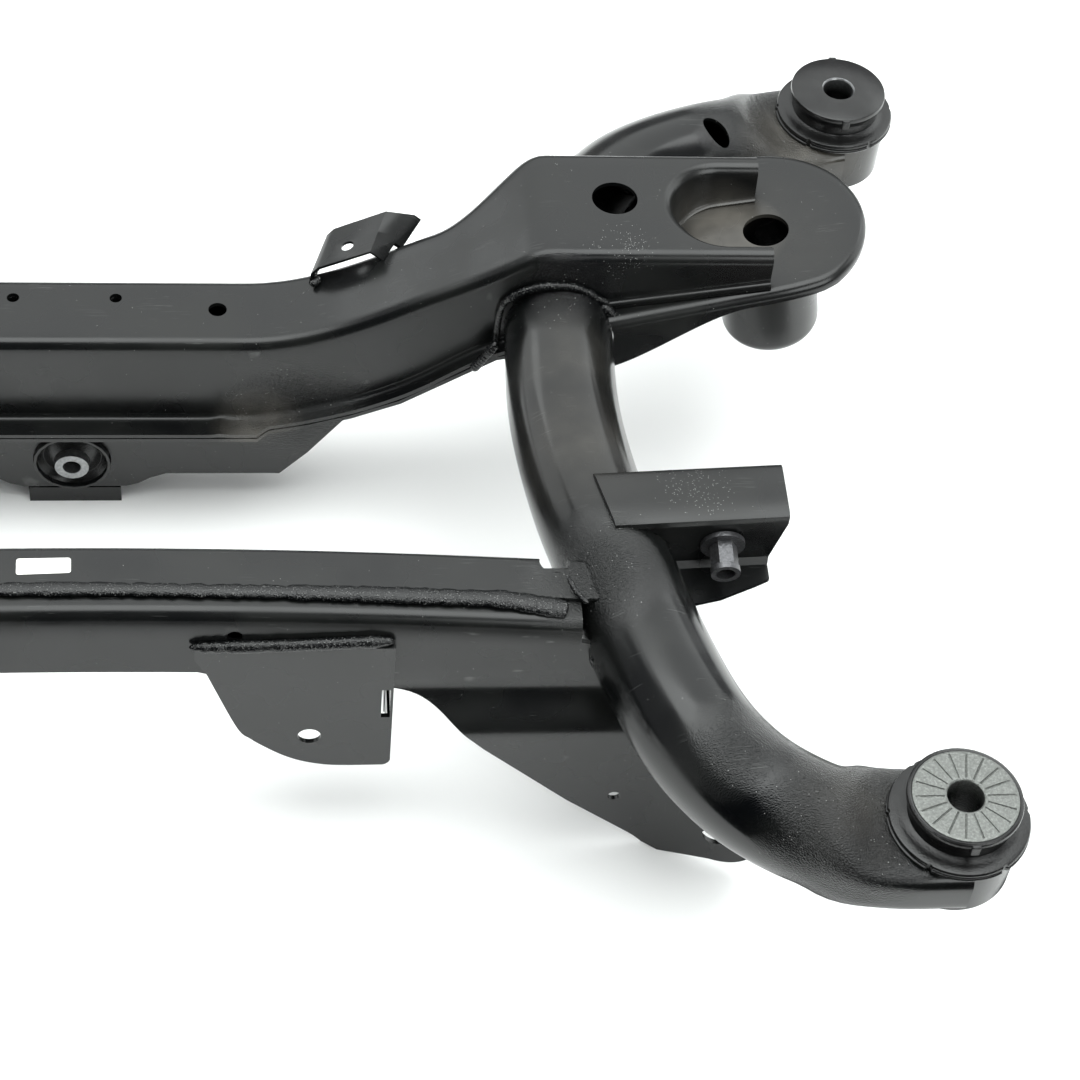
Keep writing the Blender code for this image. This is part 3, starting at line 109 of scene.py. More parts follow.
def add_node(tree: Tree, kind: str, settings: dict | None = None, links: dict | None = None) -> Node:
    """Add a shader node with its settings and links.

    Args:
        tree: node tree that gets the node.
        kind: Blender's type name of the node.
        settings: attributes of the node, or values of its inputs by name or index.
        links: what feeds its inputs, by name or index: a node's first output, or a socket.

    Returns:
        The new node.
    """
    node = tree.nodes.new(kind)
    for key, value in (settings or {}).items():
        if isinstance(key, str) and hasattr(node, key):
            setattr(node, key, value)
        else:
            node.inputs[key].default_value = value
    for key, source in (links or {}).items():
        tree.links.new(source.outputs[0] if isinstance(source, Node) else source, node.inputs[key])
    return node


NOISE, SPREAD, BLEND, SUM, BUMP = (
    "ShaderNodeTexNoise", "ShaderNodeMapRange", "ShaderNodeMix", "ShaderNodeMath", "ShaderNodeBump")
SHARE, UNDER, OVER, BLENDED = 0, 6, 7, 2        # sockets of a colour Mix node


def span(low: float, high: float, to_low: float, to_high: float) -> dict[int, float]:
    """Settings that map the range from low to high onto another, clamped."""
    return {1: low, 2: high, 3: to_low, 4: to_high}


def over(colour: str, under: str | None = None) -> dict:
    """Settings that lay a colour over another by a share."""
    return {"data_type": "RGBA", OVER: to_linear(colour), **({UNDER: to_linear(under)} if under else {})}


@dataclass(frozen=True)
class Finish:
    """A surface finish; each kind builds its own nodes over this common start."""

    name: str
    colour: str
    roughness: float
    slot: Slot
    metallic: float = 0.0

    def make(self) -> bpy.types.Material:
        """Build the finish's material, once.

        Returns:
            The material.
        """
        made = bpy.data.materials.get(self.name)
        if made is not None:
            return made
        made = bpy.data.materials.new(self.name)
        made.use_nodes = True
        tree = made.node_tree
        shader = tree.nodes["Principled BSDF"]
        shader.inputs["Base Color"].default_value = to_linear(self.colour)
        shader.inputs["Roughness"].default_value = self.roughness
        shader.inputs["Metallic"].default_value = self.metallic
        self.weave(tree, shader, add_node(tree, "ShaderNodeTexCoord").outputs["Object"])
        return made

    def weave(self, tree: Tree, shader: Node, place: Socket) -> None:
        """Add the finish's own pattern.

        Args:
            tree: node tree of the material.
            shader: its Principled shader.
            place: Object coordinates.
        """

    def near(self, tree: Tree, place: Socket, centre: Sequence[float], reach: float,
             core: float = 0.0) -> Node:
        """Share that falls from 1 at a place to 0 at a distance, the same on both sides of the frame.

        Args:
            tree: node tree of the material.
            place: Object coordinates.
            centre: the place on the right side.
            reach: distance where the share is 0.
            core: distance up to which it is 1.

        Returns:
            The node that gives the share.
        """
        folded = add_node(tree, "ShaderNodeVectorMath", {"operation": "ABSOLUTE"}, {0: place})
        split = add_node(tree, "ShaderNodeSeparateXYZ", None, {0: folded})
        straight = add_node(tree, "ShaderNodeSeparateXYZ", None, {0: place})
        joined = add_node(tree, "ShaderNodeCombineXYZ", None,
                          {0: split, 1: straight.outputs[1], 2: straight.outputs[2]})
        gap = add_node(tree, "ShaderNodeVectorMath", {"operation": "DISTANCE", 1: tuple(centre)}, {0: joined})
        return add_node(tree, SPREAD, span(core, reach, 1.0, 0.0), {0: gap.outputs["Value"]})


@dataclass(frozen=True)
class BlackCoat(Finish):
    """Cathodic electrocoat on pressed steel: near-black and satin.

    The eye gets faint orange peel, slow changes of gloss, dust, scratches and a breath of rust.
    """

    shade: str = "111211"           # where the coat runs thinner
    rust: str = "4d4a45"
    scuff: str = "6c6d6b"
    speck: str = "c4c5c2"
    draw: float = 46 * MM           # width of the slow changes of gloss
    patch: float = 18 * MM          # width of the patches that scratches and rust keep to
    peel: float = 1.7 * MM          # width of an orange-peel ripple
    peel_height: float = 0.22 * MM
    dust: float = 1.0 * MM          # spacing of the specks; real ones are finer and wouldn't show
    scratch: float = 0.35 * MM      # width of a scratch; real ones are finer and wouldn't show
    scratch_stretch: float = 60.0   # its length over its width
    scratch_turn: float = 0.9       # its heading in plan, in radians
    pits: float = 0.9 * MM          # width of a pit by the welds
    pit_height: float = 1.10 * MM
    pit_gloss: float = -0.08        # change of roughness where the coat is pitted
    pit_spatter_and_glints: float = 0.07        # how dense pale specks are there, as a share of the dusty places: weld spatter, and painted glints of the pitted coat
    # centre, reach and core of each place, on the right side
    pitted: tuple = (((0.452, -0.285, 0.195), 0.062, 0.034), ((0.322, -0.122, 0.203), 0.050, 0.016),
                     ((0.396, -0.248, 0.206), 0.038, 0.010), ((0.470, 0.278, 0.195), 0.060, 0.030),
                     ((0.315, 0.098, 0.212), 0.034, 0.010), ((0.150, 0.098, 0.092), 0.060, 0.020))
    dusty: tuple = (((0.357, 0.114, 0.238), 0.024, 0.004), ((0.385, -0.066, 0.214), 0.027, 0.004))
    rusty: tuple = (((0.500, 0.262, 0.190), 0.055, 0.012), ((0.432, 0.156, 0.205), 0.042, 0.022),
                    ((0.125, 0.094, 0.088), 0.034, 0.008), ((0.340, 0.225, 0.165), 0.050, 0.010))
    # a core below nought leaves a thin tint only
    tinted: tuple = (((0.319, -0.022, 0.212), 0.062, -0.090), ((0.318, 0.045, 0.212), 0.045, -0.090),
                     ((0.452, -0.284, 0.198), 0.046, -0.100), ((0.450, 0.148, 0.232), 0.070, -0.300))

    def spots(self, tree: Tree, place: Socket, places: Sequence) -> Node:
        """Share that is 1 at any of some places and falls off round each.

        Args:
            tree: node tree of the material.
            place: Object coordinates.
            places: centre, reach and core of each.

        Returns:
            The node that gives the share.
        """
        share = None
        for centre, reach, core in places:
            one = self.near(tree, place, centre, reach, core)
            if share is None:
                share = one
            else:
                share = add_node(tree, SUM, {"operation": "MAXIMUM"}, {0: share, 1: one})
        return share

    def weave(self, tree: Tree, shader: Node, place: Socket) -> None:
        """Add orange peel, gloss changes, specks, scratches, rust tint and the rough sparkle by the welds,
        where pale specks are partly painted glints.

        Args:
            tree: node tree of the material.
            shader: its Principled shader.
            place: Object coordinates.
        """
        # slow changes of gloss, as the coat runs thinner over draw marks
        slow = add_node(tree, NOISE, {"Scale": 1.0 / self.draw, "Detail": 2.0}, {"Vector": place})
        patch = add_node(tree, NOISE, {"Scale": 1.0 / self.patch, "Detail": 2.0}, {"Vector": place})
        gloss = add_node(tree, SPREAD, span(0.35, 0.65, self.roughness - 0.04, self.roughness + 0.06),
                         {0: slow})
        rough = self.spots(tree, place, self.pitted)
        glossier = add_node(tree, SUM, {"operation": "MULTIPLY_ADD", 1: self.pit_gloss}, {0: rough, 2: gloss})
        tree.links.new(glossier.outputs[0], shader.inputs["Roughness"])
        thinner = add_node(tree, SPREAD, span(0.3, 0.7, 0.0, 1.0), {0: slow})
        tone = add_node(tree, BLEND, over(self.shade, self.colour), {SHARE: thinner})
        # thin brown of flash rust under the coat, by the mounts and the cup
        blotch = add_node(tree, SPREAD, span(0.35, 0.7, 0.55, 1.0), {0: patch})
        stain = add_node(tree, SUM, {"operation": "MULTIPLY"},
                         {0: self.spots(tree, place, self.rusty + self.tinted), 1: blotch})
        tone = add_node(tree, BLEND, over(self.rust), {SHARE: stain, UNDER: tone.outputs[BLENDED]})
        # scratches: drawn-out grains in one slanting direction, in a few patches only
        scale = (1.0 / (self.scratch_stretch * self.scratch), 1.0 / self.scratch, 30.0)
        drawn = add_node(tree, "ShaderNodeMapping",
                         {"Rotation": (0.0, 0.0, self.scratch_turn), "Scale": scale}, {"Vector": place})
        line = add_node(tree, NOISE, {"Scale": 1.0, "Detail": 0.0}, {"Vector": drawn})
        thin = add_node(tree, SPREAD, span(0.72, 0.77, 0.0, 0.28), {0: line})
        patchy = add_node(tree, SPREAD, span(0.56, 0.66, 0.0, 1.0), {0: patch})
        scratched = add_node(tree, SUM, {"operation": "MULTIPLY"}, {0: thin, 1: patchy})
        tone = add_node(tree, BLEND, over(self.scuff), {SHARE: scratched, UNDER: tone.outputs[BLENDED]})
        # pale specks of dust and spatter, about half a millimetre wide, dense at a few places; by the welds
        # they are partly painted glints
        cells = add_node(tree, "ShaderNodeTexVoronoi", {"Scale": 1.0 / self.dust}, {"Vector": place})
        speck = add_node(tree, SPREAD, span(0.14, 0.26, 1.0, 0.0), {0: cells.outputs["Distance"]})
        pick = add_node(tree, "ShaderNodeSeparateColor", None, {0: cells.outputs["Color"]})
        some = add_node(tree, SUM, {"operation": "MULTIPLY", 1: self.pit_spatter_and_glints}, {0: rough})
        dense = add_node(tree, SUM, {"operation": "MAXIMUM"},
                         {0: self.spots(tree, place, self.dusty), 1: some})
        limit = add_node(tree, SPREAD, span(0.0, 1.0, 0.997, 0.60), {0: dense})
        kept = add_node(tree, SUM, {"operation": "GREATER_THAN"}, {0: pick, 1: limit})
        shown = add_node(tree, SUM, {"operation": "MULTIPLY"}, {0: speck, 1: kept})
        faint = add_node(tree, SPREAD, span(0.0, 1.0, 0.0, 0.65), {0: shown})
        tone = add_node(tree, BLEND, over(self.speck), {SHARE: faint, UNDER: tone.outputs[BLENDED]})
        tree.links.new(tone.outputs[BLENDED], shader.inputs["Base Color"])
        # orange peel a few hundredths of a millimetre high; by the welds the coat is pitted and sparkles
        peel = add_node(tree, NOISE, {"Scale": 1.0 / self.peel, "Detail": 2.0}, {"Vector": place})
        even = add_node(tree, BUMP, {"Strength": 0.07, "Distance": self.peel_height}, {"Height": peel})
        pits = add_node(tree, NOISE, {"Scale": 1.0 / self.pits, "Detail": 2.0}, {"Vector": place})
        bump = add_node(tree, BUMP, {"Distance": self.pit_height},
                        {"Height": pits, "Strength": rough, "Normal": even})
        tree.links.new(bump.outputs[0], shader.inputs["Normal"])


@dataclass(frozen=True)
class WeldCoat(Finish):
    """The same coat over a weld bead: glossier, since it pools in the ripples, with pale spatter."""

    spatter: float = 1.0 * MM       # width of a grain; real ones are finer and wouldn't show
    speck: str = "9a9b98"

    def weave(self, tree: Tree, shader: Node, place: Socket) -> None:
        """Add the fine spatter that roughens a bead.

        Args:
            tree: node tree of the material.
            shader: its Principled shader.
            place: Object coordinates.
        """
        spatter = add_node(tree, NOISE, {"Scale": 1.0 / self.spatter, "Detail": 2.0}, {"Vector": place})
        bright = add_node(tree, SPREAD, span(0.60, 0.70, 0.0, 0.30), {0: spatter})
        tone = add_node(tree, BLEND, over(self.speck, self.colour), {SHARE: bright})
        tree.links.new(tone.outputs[BLENDED], shader.inputs["Base Color"])
        bump = add_node(tree, BUMP, {"Strength": 1.0, "Distance": 0.5 * MM}, {"Height": spatter})
        tree.links.new(bump.outputs[0], shader.inputs["Normal"])


@dataclass(frozen=True)
class MouldedRubber(Finish):
    """Moulded natural rubber: matt black with a faint grey bloom and the mould's fine texture."""

    bloom: str = "1c1c1c"
    bloom_patch: float = 9 * MM
    texture: float = 1.1 * MM       # width of a grain; the mould's own is finer and wouldn't show

    def weave(self, tree: Tree, shader: Node, place: Socket) -> None:
        """Add the grey bloom and the mould's fine texture.

        Args:
            tree: node tree of the material.
            shader: its Principled shader.
            place: Object coordinates.
        """
        patch = add_node(tree, NOISE, {"Scale": 1.0 / self.bloom_patch, "Detail": 2.0}, {"Vector": place})
        bloom = add_node(tree, SPREAD, span(0.42, 0.68, 0.0, 0.6), {0: patch})
        tone = add_node(tree, BLEND, over(self.bloom, self.colour), {SHARE: bloom})
        tree.links.new(tone.outputs[BLENDED], shader.inputs["Base Color"])
        fine = add_node(tree, NOISE, {"Scale": 1.0 / self.texture, "Detail": 3.0}, {"Vector": place})
        bump = add_node(tree, BUMP, {"Strength": 0.7, "Distance": 0.25 * MM}, {"Height": fine})
        tree.links.new(bump.outputs[0], shader.inputs["Normal"])


@dataclass(frozen=True)
class BlastedSteel(Finish):
    """Blasted, turned or plated steel: light grey with dark pits and bright grains that glitter a little."""

    grit: float = 1.1 * MM          # width of a grain; blasting grit is finer and wouldn't show
    dark: str = "4a4a48"
    light: str = "c9c8c4"
    contrast: float = 0.5
    relief: float = 0.5
    bore_shade: str = "101111"             # painted shade: the bores of the mounts darken further down

    def weave(self, tree: Tree, shader: Node, place: Socket) -> None:
        """Add the dark pits and bright grains of the grit, and painted shade that darkens the mounts' bores
        downwards.

        Args:
            tree: node tree of the material.
            shader: its Principled shader.
            place: Object coordinates.
        """
        grit = add_node(tree, NOISE, {"Scale": 1.0 / self.grit, "Detail": 3.0}, {"Vector": place})
        darker = add_node(tree, SPREAD, span(0.30, 0.48, self.contrast, 0.0), {0: grit})
        lighter = add_node(tree, SPREAD, span(0.52, 0.70, 0.0, self.contrast), {0: grit})
        tone = add_node(tree, BLEND, over(self.dark, self.colour), {SHARE: darker})
        tone = add_node(tree, BLEND, over(self.light), {SHARE: lighter, UNDER: tone.outputs[BLENDED]})
        # painted shade: near each mount the colour darkens towards a point deep in its bore
        for mount in (FRONT_MOUNT, REAR_MOUNT):
            depth = self.near(tree, place, (mount.x, mount.y, mount.z - 18 * MM), 20.5 * MM, 12 * MM)
            tone = add_node(tree, BLEND, over(self.bore_shade), {SHARE: depth, UNDER: tone.outputs[BLENDED]})
        tree.links.new(tone.outputs[BLENDED], shader.inputs["Base Color"])
        bump = add_node(tree, BUMP, {"Strength": self.relief, "Distance": 0.4 * MM}, {"Height": grit})
        tree.links.new(bump.outputs[0], shader.inputs["Normal"])


@dataclass(frozen=True)
class PaintOrPaper(Finish):
    """A pale matt sheet whose tone varies very faintly: label paper, or the painted studio floor."""

    patch: float = 0.5 * MM         # width of a patch
    share: float = 0.4              # how much of the other tone shows
    other: str = "d9d8d2"

    def weave(self, tree: Tree, shader: Node, place: Socket) -> None:
        """Add the faint tooth of paper or the faint unevenness of paint.

        Args:
            tree: node tree of the material.
            shader: its Principled shader.
            place: Object coordinates.
        """
        grain = add_node(tree, NOISE, {"Scale": 1.0 / self.patch, "Detail": 2.0}, {"Vector": place})
        uneven = add_node(tree, SPREAD, span(0.3, 0.7, 0.0, self.share), {0: grain})
        tone = add_node(tree, BLEND, over(self.other, self.colour), {SHARE: uneven})
        tree.links.new(tone.outputs[BLENDED], shader.inputs["Base Color"])


@dataclass(frozen=True)
class BlackFelt(Finish):
    """Black felt of a studio flag: it gives back hardly any light and no gloss."""

    def weave(self, tree: Tree, shader: Node, place: Socket) -> None:
        """Take off the gloss.

        Args:
            tree: node tree of the material.
            shader: its Principled shader.
            place: Object coordinates.
        """
        shader.inputs["Specular IOR Level"].default_value = 0.0


COAT = BlackCoat("Electrocoated_Steel", "0b0c0d", 0.27, Slot.BLACK)
TUBE_COAT = BlackCoat("Electrocoated_Tube", "060708", 0.18, Slot.BLACK)
BEAD = WeldCoat("Electrocoated_Weld_Bead", "08090a", 0.20, Slot.BLACK)
RUBBER = MouldedRubber("Moulded_Rubber", "0c0c0c", 0.24, Slot.RUBBER)
SERRATED = BlastedSteel("Serrated_Blasted_Steel", "6c6e6b", 0.34, Slot.SERRATED, 0.70, grit=1.3 * MM,
                        dark="555654", light="8f918e", relief=1.0)
SLEEVE = BlastedSteel("Turned_Steel_Sleeve", "8a8b8c", 0.38, Slot.BARE, 0.9, grit=2.2 * MM,
                      dark="6d6c6a", light="a9aaaa")
ZINC = BlastedSteel("Dark_Zinc_Plated_Steel", "5c5c5e", 0.34, Slot.ZINC, 0.8, grit=1.6 * MM,
                    dark="3c3c3e", light="77777a")
PAPER = PaintOrPaper("Blank_Paper_Label", "f2f1ec", 0.55, Slot.BLACK)
FLOOR = PaintOrPaper("Studio_Floor_Paint", "fafaf9", 0.75, Slot.BLACK, patch=0.4, share=0.5, other="f2f2f1")
FELT = BlackFelt("Black_Felt_Flag", "030303", 1.0, Slot.BLACK)


# ---------------------------------------------------------------- bench tools


def only(piece: Piece) -> None:
    """Select one piece alone and make it active.

    Args:
        piece: the piece to select.
    """
    if bpy.context.mode != "OBJECT":
        bpy.ops.object.mode_set(mode="OBJECT")
    bpy.ops.object.select_all(action="DESELECT")
    piece.select_set(True)
    bpy.context.view_layer.objects.active = piece


def edit(piece: Piece, *steps: Callable[[], object]) -> None:
    """Run edit-mode operators on all of a piece's mesh.

    Args:
        piece: the piece to edit.
        steps: calls that act on what is selected.
    """
    only(piece)
    bpy.ops.object.mode_set(mode="EDIT")
    bpy.ops.mesh.select_all(action="SELECT")
    for step in steps:
        step()
    bpy.ops.object.mode_set(mode="OBJECT")


def apply_all(piece: Piece) -> None:
    """Apply a piece's modifiers in their order.

    Args:
        piece: the piece.
    """
    only(piece)
    for modifier in list(piece.modifiers):
        bpy.ops.object.modifier_apply(modifier=modifier.name)


def smooth(piece: Piece, degrees: float = 40.0) -> None:
    """Shade a piece smooth, and sharp along edges over an angle."""
    only(piece)
    bpy.ops.object.shade_smooth_by_angle(angle=math.radians(degrees))


def settle(piece: Piece) -> None:
    """Put a piece's place into its mesh, so that its object sits at the origin."""
    only(piece)
    bpy.ops.object.transform_apply(location=True, rotation=True, scale=True)


def dress(piece: Piece, finish: Finish, replaced: Iterable[str] = ()) -> Piece:
    """Give a piece its finish and body, and let it stand for CAD nodes.

    Args:
        piece: the finished piece.
        finish: its surface finish.
        replaced: CAD nodes that it stands for.

    Returns:
        The same piece.
    """
    piece.data.materials.clear()
    piece.data.materials.append(finish.make())
    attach(piece, BODY)
    names = list(replaced)
    if names:
        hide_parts(*names)
    log.info("%s: %d faces", piece.name, len(piece.data.polygons))
    return piece


def add_mesh(name: str, mesh: bpy.types.Mesh | None = None, points: Sequence = (), edges: Sequence = (),
             faces: Sequence = ()) -> Piece:
    """Put an object into the scene, round a mesh that is there or a new one.

    Args:
        name: name of the object.
        mesh: its mesh, or None for a new one.
        points: points of a new mesh.
        edges: its edges, as pairs of point numbers.
        faces: its faces, as rows of point numbers.

    Returns:
        The object.
    """
    if mesh is None:
        mesh = bpy.data.meshes.new(name)
        mesh.from_pydata(points, edges, faces)
    piece = bpy.data.objects.new(name, mesh)
    bpy.context.scene.collection.objects.link(piece)
    return piece


def twin(piece: Piece, name: str) -> Piece:
    """Copy a right piece to the left side, with its own mesh.

    Args:
        piece: the right piece.
        name: name of the left one.

    Returns:
        The left piece.
    """
    copy = add_mesh(name, piece.data.copy())
    copy.data.transform(Matrix.Scale(-1.0, 4, (1.0, 0.0, 0.0)))
    copy.data.flip_normals()
    return copy


def dress_pair(piece: Piece, base: str, finish: Finish, nodes: Sequence[str] = ()) -> None:
    """Dress a right piece and its left twin.

    Args:
        piece: the right piece.
        base: name of both without the side.
        finish: their finish.
        nodes: CAD nodes that they stand for, without the side.
    """
    left = twin(piece, base + "_left")
    piece.name = base + "_right"
    dress(piece, finish, [node + "_right" for node in nodes])
    dress(left, finish, [node + "_left" for node in nodes])


def merged_copy(node: str, name: str) -> Piece:
    """Copy a CAD node, with its loose triangles merged into a closed mesh of flat facets.

    Args:
        node: CAD node to copy.
        name: name of the copy.

    Returns:
        The copy, not yet dressed.
    """
    copy = add_mesh(name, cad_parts[node].data.copy())
    edit(copy, lambda: bpy.ops.mesh.remove_doubles(threshold=MERGE_GAP),
         lambda: bpy.ops.mesh.dissolve_limited(angle_limit=math.radians(0.6)))
    if copy.data.has_custom_normals:
        bpy.ops.mesh.customdata_custom_splitnormals_clear()
    return copy


def ease_edges(piece: Piece, width: float, angle: float = 42.0, steps: int = 2,
               clamp: bool = True) -> None:
    """Round a piece's sharp edges as a pressed or deburred sheet has them.

    Args:
        piece: the piece.
        width: width of the rounding.
        angle: edges sharper than this are rounded, in degrees.
        steps: facets in the rounding.
        clamp: whether short edges hold the rounding back.
    """
    smooth(piece, 30.0)
    bevel = piece.modifiers.new("eased", "BEVEL")
    bevel.harden_normals = True
    bevel.limit_method = "ANGLE"
    bevel.angle_limit = math.radians(angle)
    bevel.width = width
    bevel.segments = steps
    bevel.use_clamp_overlap = clamp
    bevel.miter_outer = "MITER_ARC"
    apply_all(piece)


def laid_sheet(name: str, rows: Sequence, flip: bool = False, seam: bool = False) -> Piece:
    """Add a grid and lay its points on rows of places.

    Args:
        name: name of the piece.
        rows: equally long rows of points.
        flip: whether its faces are turned over.
        seam: whether its first and last columns are merged.

    Returns:
        The laid sheet, still without a wall.
    """
    places = np.asarray(rows, float)
    count, across = places.shape[:2]
    if bpy.context.object is not None:
        only(bpy.context.object)
    bpy.ops.object.select_all(action="DESELECT")
    bpy.ops.mesh.primitive_grid_add(x_subdivisions=across - 1, y_subdivisions=count - 1, size=1.0)
    piece = bpy.context.object
    piece.name = name
    piece.data.vertices.foreach_set("co", places.reshape(-1))
    piece.data.update()
    steps = []
    if seam:
        steps.append(lambda: bpy.ops.mesh.remove_doubles(threshold=MERGE_GAP))
    if flip:
        steps.append(bpy.ops.mesh.flip_normals)
    if steps:
        edit(piece, *steps)
    return piece


def give_wall(piece: Piece, thickness: float, edge: float = 0.0) -> None:
    """Give a sheet its wall, and round the wall's edges.

    Args:
        piece: the sheet.
        thickness: thickness of the wall, which grows inwards.
        edge: width of the rounding along its edges.
    """
    wall = piece.modifiers.new("wall", "SOLIDIFY")
    wall.thickness = thickness
    wall.offset = -1.0
    wall.use_even_offset = True
    apply_all(piece)
    if edge:
        ease_edges(piece, edge, 55.0, 2, False)


def cut(piece: Piece, cutter: Piece, operation: str = "DIFFERENCE") -> None:
    """Cut a piece with a cutter, which is then thrown away.

    Args:
        piece: the piece to cut.
        cutter: a closed mesh.
        operation: DIFFERENCE, INTERSECT or UNION.
    """
    modifier = piece.modifiers.new("cut", "BOOLEAN")
    modifier.operation = operation
    modifier.solver = "EXACT"
    modifier.object = cutter
    apply_all(piece)
    bpy.data.objects.remove(cutter)


def rod(radius: float, length: float, centre: Sequence[float], axis: str = "Z",
        sides: int = 64) -> Piece:
    """Add a round cutter.

    Args:
        radius: its radius.
        length: its length.
        centre: its middle.
        axis: X, Y or Z.
        sides: facets round it.

    Returns:
        The cutter.
    """
    turn = {"X": (0.0, math.pi / 2, 0.0), "Y": (math.pi / 2, 0.0, 0.0), "Z": (0.0, 0.0, 0.0)}[axis]
    bpy.ops.mesh.primitive_cylinder_add(vertices=sides, radius=radius, depth=length, location=centre,
                                        rotation=turn)
    item = bpy.context.object
    settle(item)
    return item


def outline_block(outline: Sequence, low: float, high: float, axis: str = "Z") -> Piece:
    """Extrude a closed outline into a block, along Z from plan points or along Y from front-view points.

    Args:
        outline: points in the plane across the axis.
        low: start of the extrusion.
        high: its end.
        axis: Z or Y.

    Returns:
        The block, with its faces outwards.
    """
    points = [(a, b, low) if axis == "Z" else (a, low, b) for a, b in outline]
    block = add_mesh("block", points=points, faces=[tuple(range(len(points)))])
    move = (0.0, 0.0, high - low) if axis == "Z" else (0.0, high - low, 0.0)
    edit(block, lambda: bpy.ops.mesh.extrude_region_move(TRANSFORM_OT_translate={"value": move}),
         lambda: bpy.ops.mesh.select_all(action="SELECT"),
         lambda: bpy.ops.mesh.normals_make_consistent(inside=False))
    return block


def turned(name: str, profile: Sequence, centre: Sequence[float], steps: int = 96,
           lean: float = 0.0) -> Piece:
    """Spin a closed profile about an upright axis.

    Args:
        name: name of the piece.
        profile: radius and height pairs.
        centre: place of the axis.
        steps: facets round the piece.
        lean: tilt about Y in radians.

    Returns:
        The turned piece with its faces outwards.
    """
    count = len(profile)
    piece = add_mesh(name, points=[(r, 0.0, z) for r, z in profile],
                     edges=[(i, (i + 1) % count) for i in range(count)])
    edit(piece,
         lambda: bpy.ops.mesh.spin(steps=steps, angle=2 * math.pi, center=(0.0, 0.0, 0.0),
                                   axis=(0.0, 0.0, 1.0)),
         lambda: bpy.ops.mesh.select_all(action="SELECT"),
         lambda: bpy.ops.mesh.remove_doubles(threshold=MERGE_GAP),
         lambda: bpy.ops.mesh.normals_make_consistent(inside=False))
    piece.data.transform(Matrix.Translation(centre) @ Matrix.Rotation(lean, 4, "Y"))
    return piece


def ease(value: float, start: float, end: float) -> float:
    """Smooth step from 0 at the start to 1 at the end."""
    t = min(max((value - start) / (end - start), 0.0), 1.0)
    return t * t * (3.0 - 2.0 * t)


def arc(centre: Sequence[float], radius: float, start: float, end: float,
        steps: int) -> list[tuple[float, float]]:
    """Points on an arc, its angles in degrees, without its first point."""
    angles = np.radians(np.linspace(start, end, steps + 1)[1:])
    return [(centre[0] + radius * math.cos(a), centre[1] + radius * math.sin(a)) for a in angles]


def smooth_path(points: Sequence, spacing: float) -> np.ndarray:
    """Points at an even spacing along a smooth curve through the given points.

    Args:
        points: places that the curve passes.
        spacing: distance between the returned points.

    Returns:
        One row per point.
    """
    given = np.array(points, float)
    if len(given) < 3:
        given = np.vstack([given[0], (given[0] + given[-1]) / 2, given[-1]])
    padded = np.vstack([2 * given[0] - given[1], given, 2 * given[-1] - given[-2]])
    fine = []
    for i in range(len(given) - 1):
        a, b, c, d = padded[i:i + 4]
        for t in np.linspace(0.0, 1.0, 16, endpoint=False):
            fine.append(0.5 * (2 * b + (c - a) * t + (2 * a - 5 * b + 4 * c - d) * t ** 2
                               + (3 * b - a - 3 * c + d) * t ** 3))
    fine.append(given[-1])
    fine = np.array(fine)
    run = np.concatenate([[0.0], np.cumsum(np.linalg.norm(np.diff(fine, axis=0), axis=1))])
    wanted = np.linspace(0.0, run[-1], max(int(run[-1] / spacing), 2) + 1)
    return np.stack([np.interp(wanted, run, fine[:, k]) for k in range(given.shape[1])], 1)


@dataclass
class WeldBead:
    """One arc-weld bead with its ripples, laid half into the seam."""

    name: str
    path: Sequence
    radius: float = 2.6 * MM
    ripple: float = 2.2 * MM        # pitch of the ripples
    spacing: float = 0.7 * MM
    depth: float = 0.13             # share of the radius that a ripple takes
    seed: int = 7
    swell: float = 0.0              # how much wider it gets towards its end
    flat: float = 1.0               # height as a share of its width
    point: float = 2.5 * MM         # length of its tapered ends
    hand: float = 4.0 * MM          # length over which the welder's hand drifts

    def lay(self) -> Piece:
        """Lay the bead.

        Returns:
            The bead as a closed mesh.
        """
        points = smooth_path(self.path, self.spacing)
        count = len(points)
        dice = np.random.default_rng(self.seed)
        run = np.arange(count) * self.spacing
        knots = np.arange(0.0, run[-1] + 2 * self.hand, self.hand)
        drift = np.interp(run, knots, dice.normal(0.0, 1.0, len(knots)))
        wave = np.abs(np.sin(math.pi * (run + 0.4 * MM * drift) / self.ripple))
        size = self.radius * (1.0 - self.depth + self.depth * wave + 0.07 * drift)
        taper = np.minimum(1.0, (np.minimum(run, run[-1] - run) + 0.5 * MM) / self.point)
        size = size * np.sqrt(np.clip(taper, 0.05, 1.0)) * (1.0 + self.swell * run / run[-1])
        points[:, 2] /= self.flat
        curve = bpy.data.curves.new(self.name, "CURVE")
        curve.dimensions = "3D"
        curve.bevel_depth = 1.0
        curve.bevel_resolution = 3
        curve.use_fill_caps = True
        spline = curve.splines.new("POLY")
        spline.points.add(count - 1)
        for spot, place, width in zip(spline.points, points, size):
            spot.co = (*place, 1.0)
            spot.radius = width
        bead = bpy.data.objects.new(self.name, curve)
        bpy.context.scene.collection.objects.link(bead)
        only(bead)
        bpy.ops.object.convert(target="MESH")
        bead = bpy.context.object
        bead.data.transform(Matrix.Diagonal((1.0, 1.0, self.flat, 1.0)))
        edit(bead, lambda: bpy.ops.mesh.normals_make_consistent(inside=False))
        smooth(bead, 80.0)
        return bead


def weld_pair(name: str, path: Sequence, radius: float = 2.6 * MM, seed: int = 7, **more: float) -> None:
    """Lay a bead on the right side and its twin on the left.

    Args:
        name: name of both without the side.
        path: places that the right bead passes.
        radius: half its width.
        seed: seed of its ripples.
        more: other fields of the bead.
    """
    dress_pair(WeldBead(name, path, radius, seed=seed, **more).lay(), name, BEAD)


# ---------------------------------------------------------------- studio


